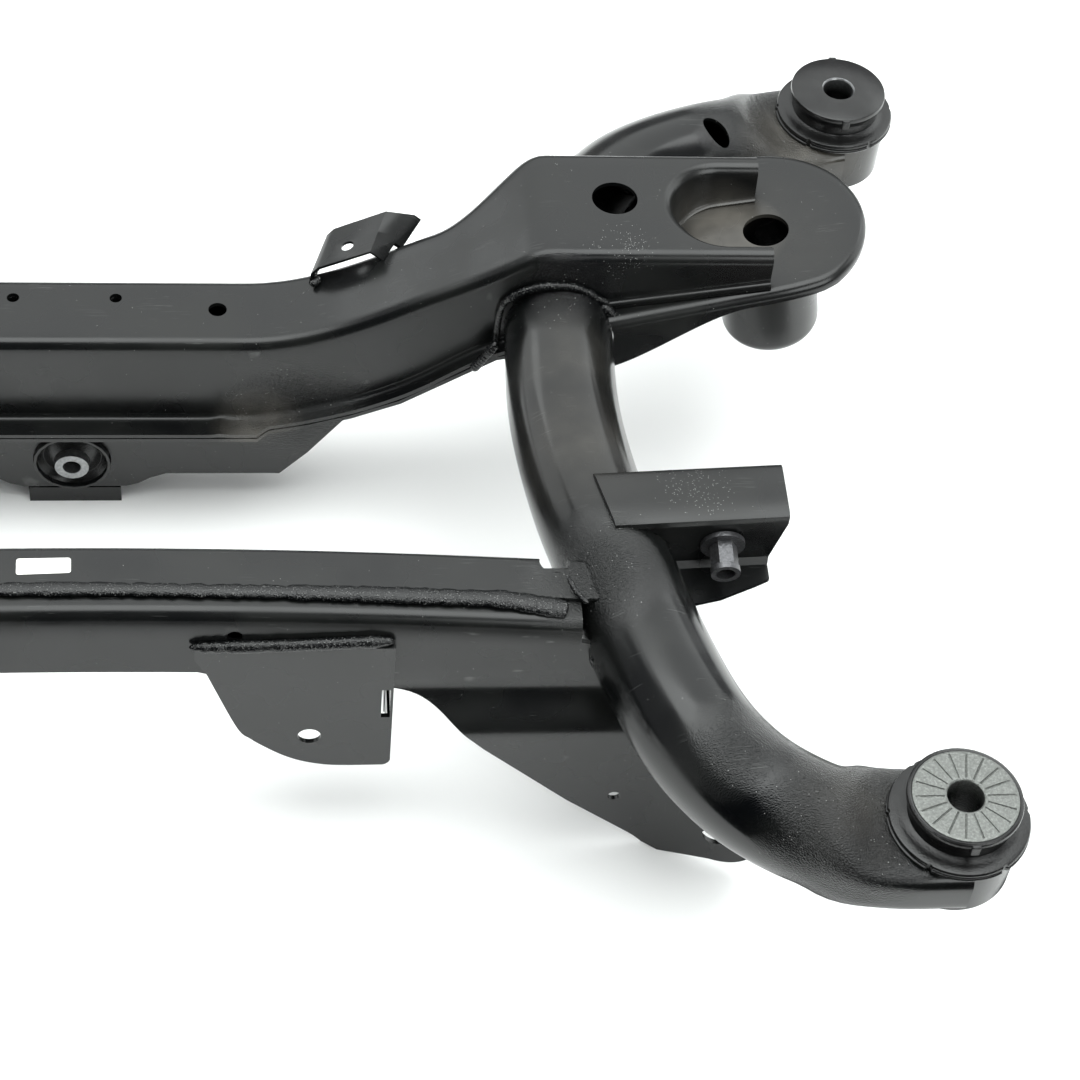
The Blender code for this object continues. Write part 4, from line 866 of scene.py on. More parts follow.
@dataclass
class Studio:
    """Floor, lights and camera."""

    floor_size: float = 40.0
    eye: tuple[float, float, float] = (0.13154, -1.06779, 1.38479)
    pitch: float = 50.226
    yaw: float = 9.3
    roll: float = -6.897
    lens: float = 86.97
    sensor: float = 36.0
    clip_start: float = 0.05
    air: float = 0.30               # strength of the light from all round
    air_colour: str = "f6f8fb"
    light_colour: str = "fafefd"
    # name, place, aim, width and height, and watts of each soft box, and whether reflections show it
    lamps: tuple = (("ceiling", (0.0, 2.3, 2.6), (0.0, 0.2, 0.15), (6.2, 2.9), 84.0, True),
                    ("right_card", (2.85, 1.15, 1.25), (0.3, 0.0, 0.15), (2.3, 2.4), 36.0, True),
                    ("left_card", (-2.3, 1.9, 1.0), (-0.2, 0.0, 0.15), (2.0, 1.8), 14.0, True),
                    ("key", (0.1, 0.0, 2.5), (0.1, 0.0, 0.15), (3.2, 1.8), 72.0, True),
                    ("fill", (1.8, -2.2, 1.6), (0.2, 0.0, 0.1), (1.8, 1.8), 40.0, True),
                    ("wash", (0.0, 0.0, 3.4), (0.0, 0.0, 0.0), (4.5, 4.5), 75.0, False))
    # name, place, turn, and width and height of each black flag
    flags: tuple = (("flag_front", (0.0, -3.02, 2 * MM), 0.0, (9.0, 5.0)),
                    ("flag_wall", (0.0, -2.8, 2.4), math.pi / 2, (9.0, 4.8)),
                    ("flag_outrigger", (0.53, -0.20, 2 * MM), 0.0, (0.22, 0.20)),
                    ("flag_ear", (0.50, -0.05, 2 * MM), 0.0, (0.28, 0.10)))

    def build(self) -> None:
        """Set up the floor, the lights and the camera."""
        self.lay_floor()
        self.hang_lights()
        self.set_flags()
        self.place_camera()
        # the photograph's background is pure white
        bpy.context.scene.view_settings.view_transform = "Standard"

    def lay_floor(self) -> None:
        """Lay a wide pale floor under the frame."""
        bpy.ops.mesh.primitive_plane_add(size=self.floor_size, location=(0.0, 0.0, 0.0))
        floor = bpy.context.object
        floor.name = "studio_floor"
        settle(floor)
        floor.data.materials.append(FLOOR.make())

    def hang_lights(self) -> None:
        """Hang a wide dim ceiling behind, a bright key overhead, soft cards and a wash for the matt floor."""
        for lamp in self.lamps:
            self.soft_box(*lamp)
        world = bpy.data.worlds.new("studio_air")
        bpy.context.scene.world = world
        world.use_nodes = True
        sky = world.node_tree.nodes["Background"]
        sky.inputs["Color"].default_value = to_linear(self.air_colour)
        sky.inputs["Strength"].default_value = self.air

    def set_flags(self) -> None:
        """Set black flags that only reflections see, for the dark line under each fold."""
        for name, place, turn, size in self.flags:
            bpy.ops.mesh.primitive_plane_add(size=1.0, location=place, rotation=(turn, 0.0, 0.0))
            flag = bpy.context.object
            flag.name = name
            flag.scale = (*size, 1.0)
            settle(flag)
            flag.data.materials.append(FELT.make())
            flag.visible_camera = False
            flag.visible_diffuse = False
            flag.visible_shadow = False
            flag.visible_transmission = False

    def soft_box(self, name: str, place: Sequence[float], aim: Sequence[float], size: Sequence[float],
                 power: float, mirrored: bool) -> None:
        """Hang one rectangular light.

        Args:
            name: name of the light.
            place: where its middle hangs.
            aim: point that it faces.
            size: width and height.
            power: power in watts.
            mirrored: whether reflections show it.
        """
        bpy.ops.object.light_add(type="AREA", location=place)
        lamp = bpy.context.object
        lamp.name = name
        lamp.data.shape = "RECTANGLE"
        lamp.data.size, lamp.data.size_y = size
        lamp.data.energy = power
        lamp.data.color = to_linear(self.light_colour)[:3]
        lamp.rotation_euler = (Vector(aim) - Vector(place)).to_track_quat("-Z", "Y").to_euler()
        lamp.visible_glossy = mirrored

    def place_camera(self) -> None:
        """Stand the camera where the photograph was taken from."""
        pitch, yaw, roll = (math.radians(a) for a in (self.pitch, self.yaw, self.roll))
        ahead = Vector((math.sin(yaw) * math.cos(pitch), math.cos(yaw) * math.cos(pitch), -math.sin(pitch)))
        across = Vector((math.cos(yaw), -math.sin(yaw), 0.0))
        down = ahead.cross(across)
        right = across * math.cos(roll) + down * math.sin(roll)
        low = -across * math.sin(roll) + down * math.cos(roll)
        turn = Matrix((right, -low, -ahead)).transposed()
        data = bpy.data.cameras.new("camera")
        data.sensor_width = self.sensor
        data.lens = self.lens
        data.clip_start = self.clip_start
        camera = bpy.data.objects.new("camera", data)
        bpy.context.scene.collection.objects.link(camera)
        camera.matrix_world = Matrix.Translation(self.eye) @ turn.to_4x4()
        bpy.context.scene.camera = camera


# ---------------------------------------------------------------- rear beam


@dataclass
class RearShell:
    """Upper shell of the rear beam: a pressed hat section that climbs to an ear at each side."""

    sheet: float = 3.0 * MM
    step: float = 4.0 * MM
    depth_middle: float = 0.061
    depth_ear: float = 0.098
    rise: float = 0.082              # the ears stand this far above the middle
    rise_start: float = 0.118
    rise_end: float = 0.302
    fold: float = 8.0 * MM
    foot_fold: float = 4.0 * MM
    foot_over_plate: float = 6.8 * MM
    wall_height: float = 0.0655
    flange_wide: float = 16.5 * MM
    flange_narrow: float = 10.0 * MM
    ear_lip: float = 4.0 * MM
    climb: tuple = ((0.0, 0.0), (0.128, 0.0), (0.162, 0.008), (0.196, 0.020), (0.227, 0.036), (0.257, 0.059),
                    (0.278, 0.073))
    ear_hole: tuple[float, float, float] = (0.354, 0.1585, 0.0148)
    # place across, distance behind the front face, radius and facets of the holes in the middle
    top_holes: tuple = ((0.033, 0.042, 4.0 * MM, 32), (0.099, 0.032, 6.0 * MM, 40))
    bowl_start: float = 0.384
    bowl_half: float = 0.041
    bowl_lip: float = 8.0 * MM
    bowl_front_lip: float = 3.0 * MM
    bowl_wall: float = 1.6 * MM
    pinch_x: float = 0.100           # a small pinch in the front flange
    pinch_height: float = 3.5 * MM
    pinch_width: float = 3.6 * MM
    pinch_out: float = 0.6           # how far it comes forward, as a share of its height
    pinch_reach: int = 12            # points of the section that it fades over
    top_soft: float = 0.008          # how far the bends of the top are softened
    foot_soft: float = 0.012         # and those of the foot
    # where, across the car, the flange narrows, its lip runs out, the foot goes over to the ear
    # plate and the beam gets as deep as the ear
    narrowing: tuple[float, float] = (0.124, 0.131)
    lip_end: tuple[float, float] = (0.290, 0.340)
    foot_change: tuple[float, float] = (0.278, 0.340)
    deepening: tuple[float, float] = (0.240, 0.312)

    def top_z(self, x: float) -> float:
        """Height of the top, its bends softened.

        Args:
            x: place across the car.

        Returns:
            The height.
        """
        values = []
        for place in abs(x) + np.linspace(-self.top_soft, self.top_soft, 7):
            t = min(max((abs(place) - self.rise_start) / (self.rise_end - self.rise_start), 0.0), 1.0)
            values.append(t * t * (1.9 - 0.9 * t) - 0.10 * ease(t, 0.55, 1.0) * (1.0 - t) * 4.0 * t)
        return EAR_TOP_Z - self.rise + self.rise * float(np.mean(values))

    def foot_z(self, x: float) -> float:
        """Height of the walls' foot, its corners softened as the press leaves them.

        Args:
            x: place across the car.

        Returns:
            The height.
        """
        places = abs(x) + np.linspace(-self.foot_soft, self.foot_soft, 9)
        middle = EAR_TOP_Z - self.rise - self.wall_height
        values = []
        for place in np.abs(places):
            ear = ear_plate_z(place) + self.foot_over_plate
            climbed = np.interp(place, [p for p, _ in self.climb], [c for _, c in self.climb])
            values.append(middle + climbed + (ear - middle - climbed) * ease(place, *self.foot_change))
        return float(np.mean(values))

    def lip(self, x: float) -> float:
        """Width of the foot flange."""
        wide = self.flange_wide + (self.flange_narrow - self.flange_wide) * ease(abs(x), *self.narrowing)
        return wide + (self.ear_lip - wide) * ease(abs(x), *self.lip_end)

    def section(self, x: float) -> list[tuple[float, float, float]]:
        """Section at a place across the car, from the front flange to the rear one.

        Args:
            x: place across the car.

        Returns:
            Points of the section.
        """
        front = REAR_FRONT_Y
        deeper = (self.depth_ear - self.depth_middle) * ease(abs(x), *self.deepening)
        back = front + self.depth_middle + deeper
        top, foot, lip, r = self.top_z(x), self.foot_z(x) - self.sheet, self.lip(x), self.fold
        small = min(self.foot_fold, 0.7 * lip)
        rows = [(front - lip + (lip - small) * t, foot) for t in np.linspace(0.0, 1.0, 5)]
        rows += arc((front - small, foot + small), small, -90.0, 0.0, 5)
        rows += [(front, foot + small + (top - r - foot - small) * t) for t in np.linspace(0.0, 1.0, 9)[1:]]
        rows += arc((front + r, top - r), r, 180.0, 90.0, 8)
        rows += [(front + r + (back - front - 2 * r) * t, top) for t in np.linspace(0.0, 1.0, 13)[1:]]
        rows += arc((back - r, top - r), r, 90.0, 0.0, 8)
        rows += [(back, top - r - (top - r - foot - small) * t) for t in np.linspace(0.0, 1.0, 9)[1:]]
        rows += arc((back + small, foot + small), small, 180.0, 270.0, 5)
        rows += [(back + small + (lip - small) * t, foot) for t in np.linspace(0.0, 1.0, 4)[1:]]
        pinch = self.pinch_height * math.exp(-((abs(x) - self.pinch_x) / self.pinch_width) ** 2)
        placed = []
        for k, (y, z) in enumerate(rows):
            share = max(0.0, 1.0 - k / self.pinch_reach)
            placed.append((x, y - self.pinch_out * pinch * share, z + pinch * share))
        return placed

    def bowl_path(self) -> np.ndarray:
        """Plan of the bowl's upper edge.

        Returns:
            Points from the ear's end round the bowl and back.
        """
        middle = REAR_FRONT_Y + self.depth_ear / 2
        centre = (self.bowl_start + self.bowl_half, middle)
        end = EAR_END_X
        front = [(end - (end - centre[0]) * t, middle - self.bowl_half) for t in np.linspace(0.0, 1.0, 5)]
        back = [(x, middle + self.bowl_half) for x, _ in reversed(front)]
        return np.array(front + arc(centre, self.bowl_half, 270.0, 90.0, 40) + back[1:])

    def bowl(self) -> Piece:
        """Roll the wall that leads from the ear's top down to the ear plate.

        Returns:
            The bowl of the right ear.
        """
        path = self.bowl_path()
        ahead = np.gradient(path, axis=0)
        ahead[0], ahead[-1] = (-1.0, 0.0), (1.0, 0.0)
        ahead /= np.linalg.norm(ahead, axis=1)[:, None]
        rows = []
        for (x, y), (ax, ay) in zip(path, ahead):
            foot = ear_plate_z(x + self.bowl_lip) + 0.4 * MM
            front = ease(REAR_FRONT_Y + self.depth_ear / 2 - y, 0.5 * self.bowl_half, self.bowl_half)
            r = self.bowl_lip + (self.bowl_front_lip - self.bowl_lip) * front
            wall = [(-1.5 * MM, EAR_TOP_Z - 0.15 * MM), (0.0, EAR_TOP_Z)]
            wall += [(r * math.sin(a), EAR_TOP_Z - r + r * math.cos(a))
                     for a in np.radians(np.arange(7, 78, 7))]
            last_n, last_z = wall[-1]
            end_n = last_n + (last_z - foot) * (0.12 - 0.08 * front)
            wall += [(last_n + (end_n - last_n) * t, last_z + (foot + 2.0 * MM - last_z) * t)
                     for t in np.linspace(0.0, 1.0, 5)[1:]]
            wall += [(end_n + 0.8 * MM, foot + 0.7 * MM), (end_n + 2.6 * MM, foot)]
            rows.append([(x + ay * n, y - ax * n, z) for n, z in wall])
        piece = laid_sheet("bowl", rows)
        give_wall(piece, self.bowl_wall)
        return piece

    def build(self) -> None:
        """Press the shell, cut its holes and add the bowls."""
        stations = np.arange(-EAR_END_X, EAR_END_X + 1e-6, self.step)
        stations = np.linspace(-EAR_END_X, EAR_END_X, len(stations))
        shell = laid_sheet("coated_rear_shell", [self.section(x) for x in stations], flip=True)
        give_wall(shell, self.sheet)
        x, y, radius = self.ear_hole
        path = self.bowl_path()
        past_end = EAR_END_X + 0.01
        window = [(past_end, path[0][1])] + [tuple(p) for p in path] + [(past_end, path[-1][1])]
        for side in Side:
            s = side.value
            cut(shell, outline_block([(s * px, py) for px, py in window],
                                     EAR_TOP_Z - 0.012, EAR_TOP_Z + 0.01))
            cut(shell, rod(radius, 0.06, (s * x, y, EAR_TOP_Z)))
            for across, behind, size, facets in self.top_holes:
                place = (s * across, REAR_FRONT_Y + behind, EAR_TOP_Z - self.rise)
                cut(shell, rod(size, 0.03, place, sides=facets))
        for side in Side:
            cut(shell, SideTube().block(side, TUBE_CLEARANCE))
        smooth(shell, SHEET_ANGLE)
        dress(shell, COAT, ["rear_beam_upper"])
        bowl = self.bowl()
        smooth(bowl, 50.0)
        dress_pair(bowl, "coated_ear_bowl", COAT)


def ear_plate_z(x: float) -> float:
    """Top face of the sloping ear plate."""
    return EAR_PLATE_END_Z + EAR_PLATE_SLOPE * (abs(x) - EAR_END_X)


@dataclass
class EarPlate:
    """Sloping plate under an ear, with a rolled rim and the deep-drawn cup under it."""

    thickness: float = 3.0 * MM
    front_y: float = 0.0845
    front_edge: tuple = ((0.330, 0.0872), (0.354, 0.0896), (0.3815, 0.0921), (0.4071, 0.0942),
                         (0.4312, 0.0965), (0.4577, 0.0988), (0.4738, 0.1011), (0.4880, 0.1046),
                         (0.4974, 0.1096))
    lobe: tuple[float, float] = (0.453, 0.1625)
    radius: float = 0.069
    bend: float = 7.0 * MM
    rim: float = 9.5 * MM
    skirt: float = 42.0 * MM
    skirt_end: tuple[float, float] = (0.345, 0.440)     # where the skirt runs out into the rim
    back_corner: float = 0.425
    hole: tuple[float, float, float] = (0.456, 0.1565, 0.0148)
    cup_radius: float = 32.5 * MM
    cup_height: float = 83.0 * MM
    cup_corner: float = 10.0 * MM
    cup_wall: float = 3.0 * MM
    cup_below: float = 3.3 * MM      # its rim stands this far under the plate's top
    drain: float = 6.0 * MM

    def outline(self) -> tuple[np.ndarray, list[float]]:
        """Plan outline, and how far its rim is turned down.

        Returns:
            The outline, and the depth at each of its points.
        """
        back = self.lobe[1] + self.radius
        route = SideTube().axis()
        inside = [tuple(p) for p in route[::3] if self.front_y + 0.010 < p[1] < back - 0.006]
        front = [tuple(p) for p in smooth_path(self.front_edge, 5.0 * MM)]
        points = front + arc(self.lobe, self.radius, -48.0, 90.0, 48)
        points += [(self.back_corner, back)] + inside[::-1]
        depths = [self.rim + (self.skirt - self.rim) * (1.0 - ease(x, *self.skirt_end))
                  if k < len(front) else self.rim for k, (x, _) in enumerate(points)]
        return np.array(points), depths

    def plate(self) -> Piece:
        """Press the plate with its rolled edge.

        Returns:
            The right plate.
        """
        plan, depths = self.outline()
        ahead, behind = np.roll(plan, -1, axis=0) - plan, plan - np.roll(plan, 1, axis=0)
        ahead /= np.linalg.norm(ahead, axis=1)[:, None]
        behind /= np.linalg.norm(behind, axis=1)[:, None]
        heading = ahead + behind
        heading /= np.linalg.norm(heading, axis=1)[:, None]
        inside = np.stack([-heading[:, 1], heading[:, 0]], 1)
        levels = [(self.bend + 2.0 * MM, 0.0), (self.bend, 0.0)]
        levels += [(self.bend * (1 - math.sin(a)), self.bend * (1 - math.cos(a)))
                   for a in np.radians(np.arange(15, 91, 15))]
        rings = [[(x, y, ear_plate_z(x) - drop) for x, y in plan + inside * inset] for inset, drop in levels]
        for share in (0.5, 1.0):
            rings.append([(x, y, ear_plate_z(x) - self.bend - share * max(d - self.bend, 1.0 * MM))
                          for (x, y), d in zip(plan, depths)])
        count = len(plan)
        faces = [tuple(range(count))]
        for i in range(len(rings) - 1):
            for j in range(count):
                k = (j + 1) % count
                faces.append((i * count + j, (i + 1) * count + j, (i + 1) * count + k, i * count + k))
        plate = add_mesh("plate", points=[p for ring in rings for p in ring], faces=faces)
        give_wall(plate, self.thickness)
        x, y, radius = self.hole
        cut(plate, rod(radius, 0.05, (x, y, ear_plate_z(x))))
        cut(plate, SideTube().block(Side.RIGHT, TUBE_CLEARANCE))
        return plate

    def cup(self) -> Piece:
        """Draw the cup, square to the sloping plate.

        Returns:
            The right cup.
        """
        r, w, h, c = self.cup_radius, self.cup_wall, self.cup_height, self.cup_corner
        profile = [(r, -h * t) for t in np.linspace(0.0, (h - c) / h, 6)]
        profile += arc((r - c, -h + c), c, 0.0, -90.0, 8)
        profile += [(self.drain, -h), (self.drain, -h + w)]
        profile += [(r - c, -h + w)] + arc((r - c, -h + c), c - w, -90.0, 0.0, 6) + [(r - w, 0.0)]
        lean = math.atan(EAR_PLATE_SLOPE)
        x, y, _ = self.hole
        down = Vector((math.sin(lean), 0.0, -math.cos(lean)))
        centre = Vector((x, y, ear_plate_z(x))) + down * self.cup_below
        return turned("cup", profile, centre, 96, -lean)

    def build(self) -> None:
        """Make the plate and cup of both sides."""
        plate = self.plate()
        smooth(plate, 50.0)
        dress_pair(plate, "coated_ear_plate", COAT, ["ear_plate"])
        cup = self.cup()
        smooth(cup, 35.0)
        dress_pair(cup, "coated_ear_cup", COAT, ["ear_cup"])


# ---------------------------------------------------------------- side tubes


@dataclass
class SideTube:
    """Bent tube, its ends pressed flat round the mount collars."""

    radius: float = TUBE_RADIUS
    wall: float = 2.8 * MM
    end_half_width: float = 39.6 * MM
    end_half_height: float = 18.0 * MM
    flat_length: float = 0.047
    end_length: float = 0.080
    past_mount: float = 4.0 * MM
    seat: float = 36.8 * MM          # radius of the seats that are cut for the collars
    sides: int = 72
    front_bend: tuple = ((0.475, 0.0005), (0.443, 0.007), (0.411, 0.026), (0.388, 0.050), (0.370, 0.082),
                         (0.354, 0.130), (0.339, 0.190))
    straight: tuple = ((0.325, 0.34), (0.317, 0.69))
    rear_bend: tuple = ((0.317, 0.218), (0.322, 0.155), (0.337, 0.099), (0.374, 0.051), (0.424, 0.024),
                        (0.480, 0.010))
    hole: tuple = (0.4354, 0.2578, 0.0235, 0.0125, -50.0)   # x, y, length, width and turn in degrees

    def axis(self) -> np.ndarray:
        """Plan route of the right tube's axis, from the front mount to the rear one.

        Returns:
            Evenly spaced points of the route.
        """
        front = [(x, FRONT_MOUNT.y + y) for x, y in self.front_bend]
        rear = [(x, REAR_MOUNT.y - y) for x, y in self.rear_bend]
        run = rear[0][1] - front[-1][1]
        route = front + [(x, front[-1][1] + share * run) for x, share in self.straight] + rear
        start = [(FRONT_MOUNT.x + self.past_mount, FRONT_MOUNT.y)]
        end = [(REAR_MOUNT.x + self.past_mount, REAR_MOUNT.y)]
        return smooth_path(start + route + end, 5.0 * MM)

    def rings(self, grow: float) -> list[list[tuple[float, float, float]]]:
        """Sections along the tube, round in the middle and flat at its ends.

        Args:
            grow: how much thicker than the tube they are.

        Returns:
            Rings of points, each closed by its first point.
        """
        axis = self.axis()
        run = np.concatenate([[0.0], np.cumsum(np.linalg.norm(np.diff(axis, axis=0), axis=1))])
        heading = np.gradient(axis, axis=0)
        heading /= np.linalg.norm(heading, axis=1)[:, None]
        for near_end, straight in ((run, (-1.0, 0.0)), (run[-1] - run, (1.0, 0.0))):
            share = np.clip(1.0 - near_end / self.flat_length, 0.0, 1.0)[:, None]
            heading = heading * (1.0 - share) + np.array(straight) * share
        heading /= np.linalg.norm(heading, axis=1)[:, None]
        rings = []
        for centre, ahead, here in zip(axis, heading, run):
            flat = 1.0 - ease(min(here, run[-1] - here), self.flat_length, self.end_length)
            half_width = self.radius + (self.end_half_width - self.radius) * flat + grow
            half_height = self.radius + (self.end_half_height - self.radius) * flat + grow
            power = 2.0 / (2.0 + 3.0 * flat)
            ring = []
            for k in range(self.sides + 1):
                angle = 2 * math.pi * (k % self.sides + 0.5) / self.sides
                c, s = math.cos(angle), math.sin(angle)
                across = half_width * math.copysign(abs(c) ** power, c)
                up = half_height * math.copysign(abs(s) ** power, s)
                ring.append((centre[0] + ahead[1] * across, centre[1] - ahead[0] * across, TUBE_AXIS_Z + up))
            rings.append(ring)
        return rings

    def block(self, side: Side, grow: float) -> Piece:
        """Solid in the shape of the tube, for cutting other pieces round it.

        Args:
            side: side of the frame.
            grow: how much thicker it is than the tube.

        Returns:
            The closed cutter.
        """
        rings = [[(side.value * x, y, z) for x, y, z in ring] for ring in self.rings(grow)[::2]]
        item = laid_sheet("block", rings, seam=True)
        edit(item, lambda: bpy.ops.mesh.select_all(action="DESELECT"),
             lambda: bpy.ops.mesh.select_non_manifold(),
             lambda: bpy.ops.mesh.edge_face_add(),
             lambda: bpy.ops.mesh.select_all(action="SELECT"),
             lambda: bpy.ops.mesh.normals_make_consistent(inside=False))
        return item

    def build(self) -> None:
        """Bend the tube, press its ends and cut its seats and its oval hole."""
        tube = laid_sheet("tube", self.rings(0.0), seam=True)
        edit(tube, lambda: bpy.ops.mesh.normals_make_consistent(inside=False))
        give_wall(tube, self.wall)
        for mount in (FRONT_MOUNT, REAR_MOUNT):
            cut(tube, rod(self.seat, 0.06, (mount.x, mount.y, TUBE_AXIS_Z), sides=128))
        x, y, length, width, turn = self.hole
        spin = math.radians(turn)
        oval = []
        for a in np.linspace(0.0, 2 * math.pi, 48, endpoint=False):
            along, across = length / 2 * math.cos(a), width / 2 * math.sin(a)
            oval.append((x + along * math.cos(spin) - across * math.sin(spin),
                         y + along * math.sin(spin) + across * math.cos(spin)))
        cut(tube, outline_block(oval, TUBE_AXIS_Z, TUBE_AXIS_Z + 0.07))
        smooth(tube, 40.0)
        dress_pair(tube, "coated_side_tube", TUBE_COAT, ["side_tube"])


# ---------------------------------------------------------------- mounts


@dataclass
class MountBush:
    """Body mount: collar, moulded rubber and its steel head."""

    which: str
    mount: Vector
    bare_head: bool

    collar_radius: float = 36.5 * MM
    collar_wall: float = 3.0 * MM
    collar_edge: float = 0.6 * MM
    shell_wall: float = 2.0 * MM
    fit: float = 0.3 * MM            # between pieces that touch
    collar_top: float = 0.194
    collar_bottom: float = 0.158
    head_radius: float = 32.5 * MM
    head_thickness: float = 5.0 * MM
    plate_radius: float = 30.0 * MM
    neck: float = 28.5 * MM
    flange: float = 40.5 * MM
    flange_top: float = 0.2003
    bore: float = 10.3 * MM
    core: float = 16.0 * MM
    core_bottom: float = 0.154
    grooves: int = 18
    groove_width: float = 1.3 * MM
    groove_depth: float = 0.8 * MM
    # notches in the rim of the rubber's flange, in degrees
    nicks: tuple[float, ...] = (176.0, -124.0, -60.0, 2.0, 62.0, 122.0)
    nick_radius: float = 2.3 * MM
    lug_size: tuple[float, float, float] = (4.4 * MM, 5.6 * MM, 8.0 * MM)
    hollow_radius: float = 31.0 * MM        # the rubber inside the shell
    spin_steps: int = 144

    def collar(self) -> Piece:
        """Turn the collar that is welded into the tube's end.

        Returns:
            The right collar.
        """
        inner, outer, e = self.collar_radius - self.collar_wall, self.collar_radius, self.collar_edge
        low, high = self.collar_bottom, self.collar_top
        profile = [(outer, low + e), (outer, high - e), (outer - e, high), (inner + e, high),
                   (inner, high - e), (inner, low + e), (inner + e, low), (outer - e, low)]
        return turned("collar", profile, (self.mount.x, self.mount.y, 0.0), self.spin_steps)

    def shell(self) -> Piece:
        """Turn the bush's outer shell inside the collar.

        Returns:
            The right shell.
        """
        outer = self.collar_radius - self.collar_wall - self.fit
        inner = outer - self.shell_wall
        low, high = self.collar_bottom, self.collar_top - self.fit
        profile = [(outer, low), (outer, high), (inner, high), (inner, low)]
        return turned("shell", profile, (self.mount.x, self.mount.y, 0.0), self.spin_steps)

    def rubber(self) -> Piece:
        """Turn the rubber: two thin lips, a hollow neck and the head's skirt.

        Returns:
            The right rubber.
        """
        face = self.mount.z
        under = face - self.head_thickness
        low, top = self.collar_top + self.fit, self.flange_top
        rim = self.plate_radius + 0.2 * MM if self.bare_head else self.bore + 1.1 * MM
        level = face - 0.5 * MM if self.bare_head else face - 0.05 * MM
        f, n, h = self.flange, self.neck, self.head_radius
        profile = [(rim, level), (h - 1.2 * MM, face - 0.2 * MM), (h - 0.3 * MM, face - 0.8 * MM),
                   (h, face - 1.8 * MM), (h, under + 1.0 * MM), (h - 0.6 * MM, under + 0.2 * MM),
                   (h - 1.6 * MM, under)]
        fall = (under - top - 1.5 * MM) * 0.5
        profile += [(n + (h - 1.6 * MM - n) * (1 - math.sin(a)) ** 1.5, under - fall * (a / (math.pi / 2)))
                    for a in np.radians((20, 45, 70, 90))]
        middle = under - fall
        profile += [(n + 0.3 * MM, middle - 2.0 * MM), (n + 1.2 * MM, top + 1.6 * MM),
                    (n + 3.0 * MM, top + 0.6 * MM), (n + 6.0 * MM, top + 0.1 * MM), (f - 2.2 * MM, top),
                    (f - 1.0 * MM, top - 0.4 * MM), (f - 0.4 * MM, top - 1.4 * MM),
                    (f - 0.5 * MM, top - 2.4 * MM), (f - 1.6 * MM, top - 3.0 * MM),
                    (f - 1.5 * MM, top - 3.6 * MM), (f - 0.3 * MM, top - 4.2 * MM), (f, top - 5.0 * MM),
                    (f - 0.4 * MM, low), (self.hollow_radius, low),
                    (self.hollow_radius, self.collar_bottom + 3.0 * MM),
                    (24.0 * MM, self.collar_bottom + 10.0 * MM),
                    (self.core + self.fit, self.collar_bottom + 3.0 * MM),
                    (self.core + self.fit, under - 1.0 * MM)]
        if self.bare_head:
            profile += [(self.plate_radius - 1.0 * MM, under - 0.3 * MM), (rim, under + 0.4 * MM)]
        else:
            profile += [(self.core + self.fit, face - 2.5 * MM), (self.bore + 1.1 * MM, face - 2.5 * MM)]
        piece = turned("rubber", profile, (self.mount.x, self.mount.y, 0.0), self.spin_steps)
        reach = f + 0.6 * MM
        for a in np.radians(self.nicks):
            place = (self.mount.x + reach * math.cos(a), self.mount.y + reach * math.sin(a), top)
            cut(piece, rod(self.nick_radius, 0.014, place, sides=24))
        return piece

    def head(self) -> Piece:
        """Turn the steel core; a bare head gets its radial grooves.

        Returns:
            The right core with its head.
        """
        face, under = self.mount.z, self.mount.z - self.head_thickness
        b, p = self.bore, self.plate_radius
        if not self.bare_head:
            profile = [(b, face - 1.2 * MM), (b + 0.5 * MM, face - 0.4 * MM), (b + 1.0 * MM, face),
                       (b + 1.0 * MM, face - 2.2 * MM), (self.core, face - 2.8 * MM),
                       (self.core, self.core_bottom), (b, self.core_bottom)]
            return turned("head", profile, (self.mount.x, self.mount.y, 0.0), self.spin_steps)
        sector = 2 * math.pi / self.grooves
        # radius, height, and whether the grooves are cut there
        levels = [(b, self.core_bottom, 0.0), (b, face - 1.1 * MM, 0.0),
                  (b + 0.3 * MM, face - 0.5 * MM, 0.0), (b + 1.0 * MM, face - 0.05 * MM, 0.0),
                  (b + 1.6 * MM, face, 0.0), (b + 2.4 * MM, face, 1.0), (17.0 * MM, face, 1.0),
                  (22.0 * MM, face, 1.0), (27.2 * MM, face, 1.0), (28.2 * MM, face, 0.0),
                  (p - 0.8 * MM, face, 0.0), (p - 0.2 * MM, face - 0.25 * MM, 0.0),
                  (p, face - 0.8 * MM, 0.0), (p, under, 0.0), (self.core, under, 0.0),
                  (self.core, self.core_bottom, 0.0), (b, self.core_bottom, 0.0)]
        half = self.groove_width / 2
        rows = []
        groove = ((-1.0, 0.0), (-0.5, 0.8), (0.0, 1.0), (0.5, 0.8), (1.0, 0.0))     # its section
        for r, z, deep in levels:
            ring = []
            for k in range(self.grooves):
                start = k * sector
                edge = math.asin(half / r)
                ring += [(start + share * edge, drop) for share, drop in groove]
                free = sector - 2 * edge
                ring += [(start + edge + free * t, 0.0) for t in (0.2, 0.4, 0.6, 0.8)]
            ring.append((ring[0][0] + 2 * math.pi, ring[0][1]))
            rows.append([(self.mount.x + r * math.cos(a), self.mount.y + r * math.sin(a),
                          z - drop * deep * self.groove_depth) for a, drop in ring])
        piece = laid_sheet("head", rows, seam=True)
        edit(piece, lambda: bpy.ops.mesh.normals_make_consistent(inside=False))
        return piece

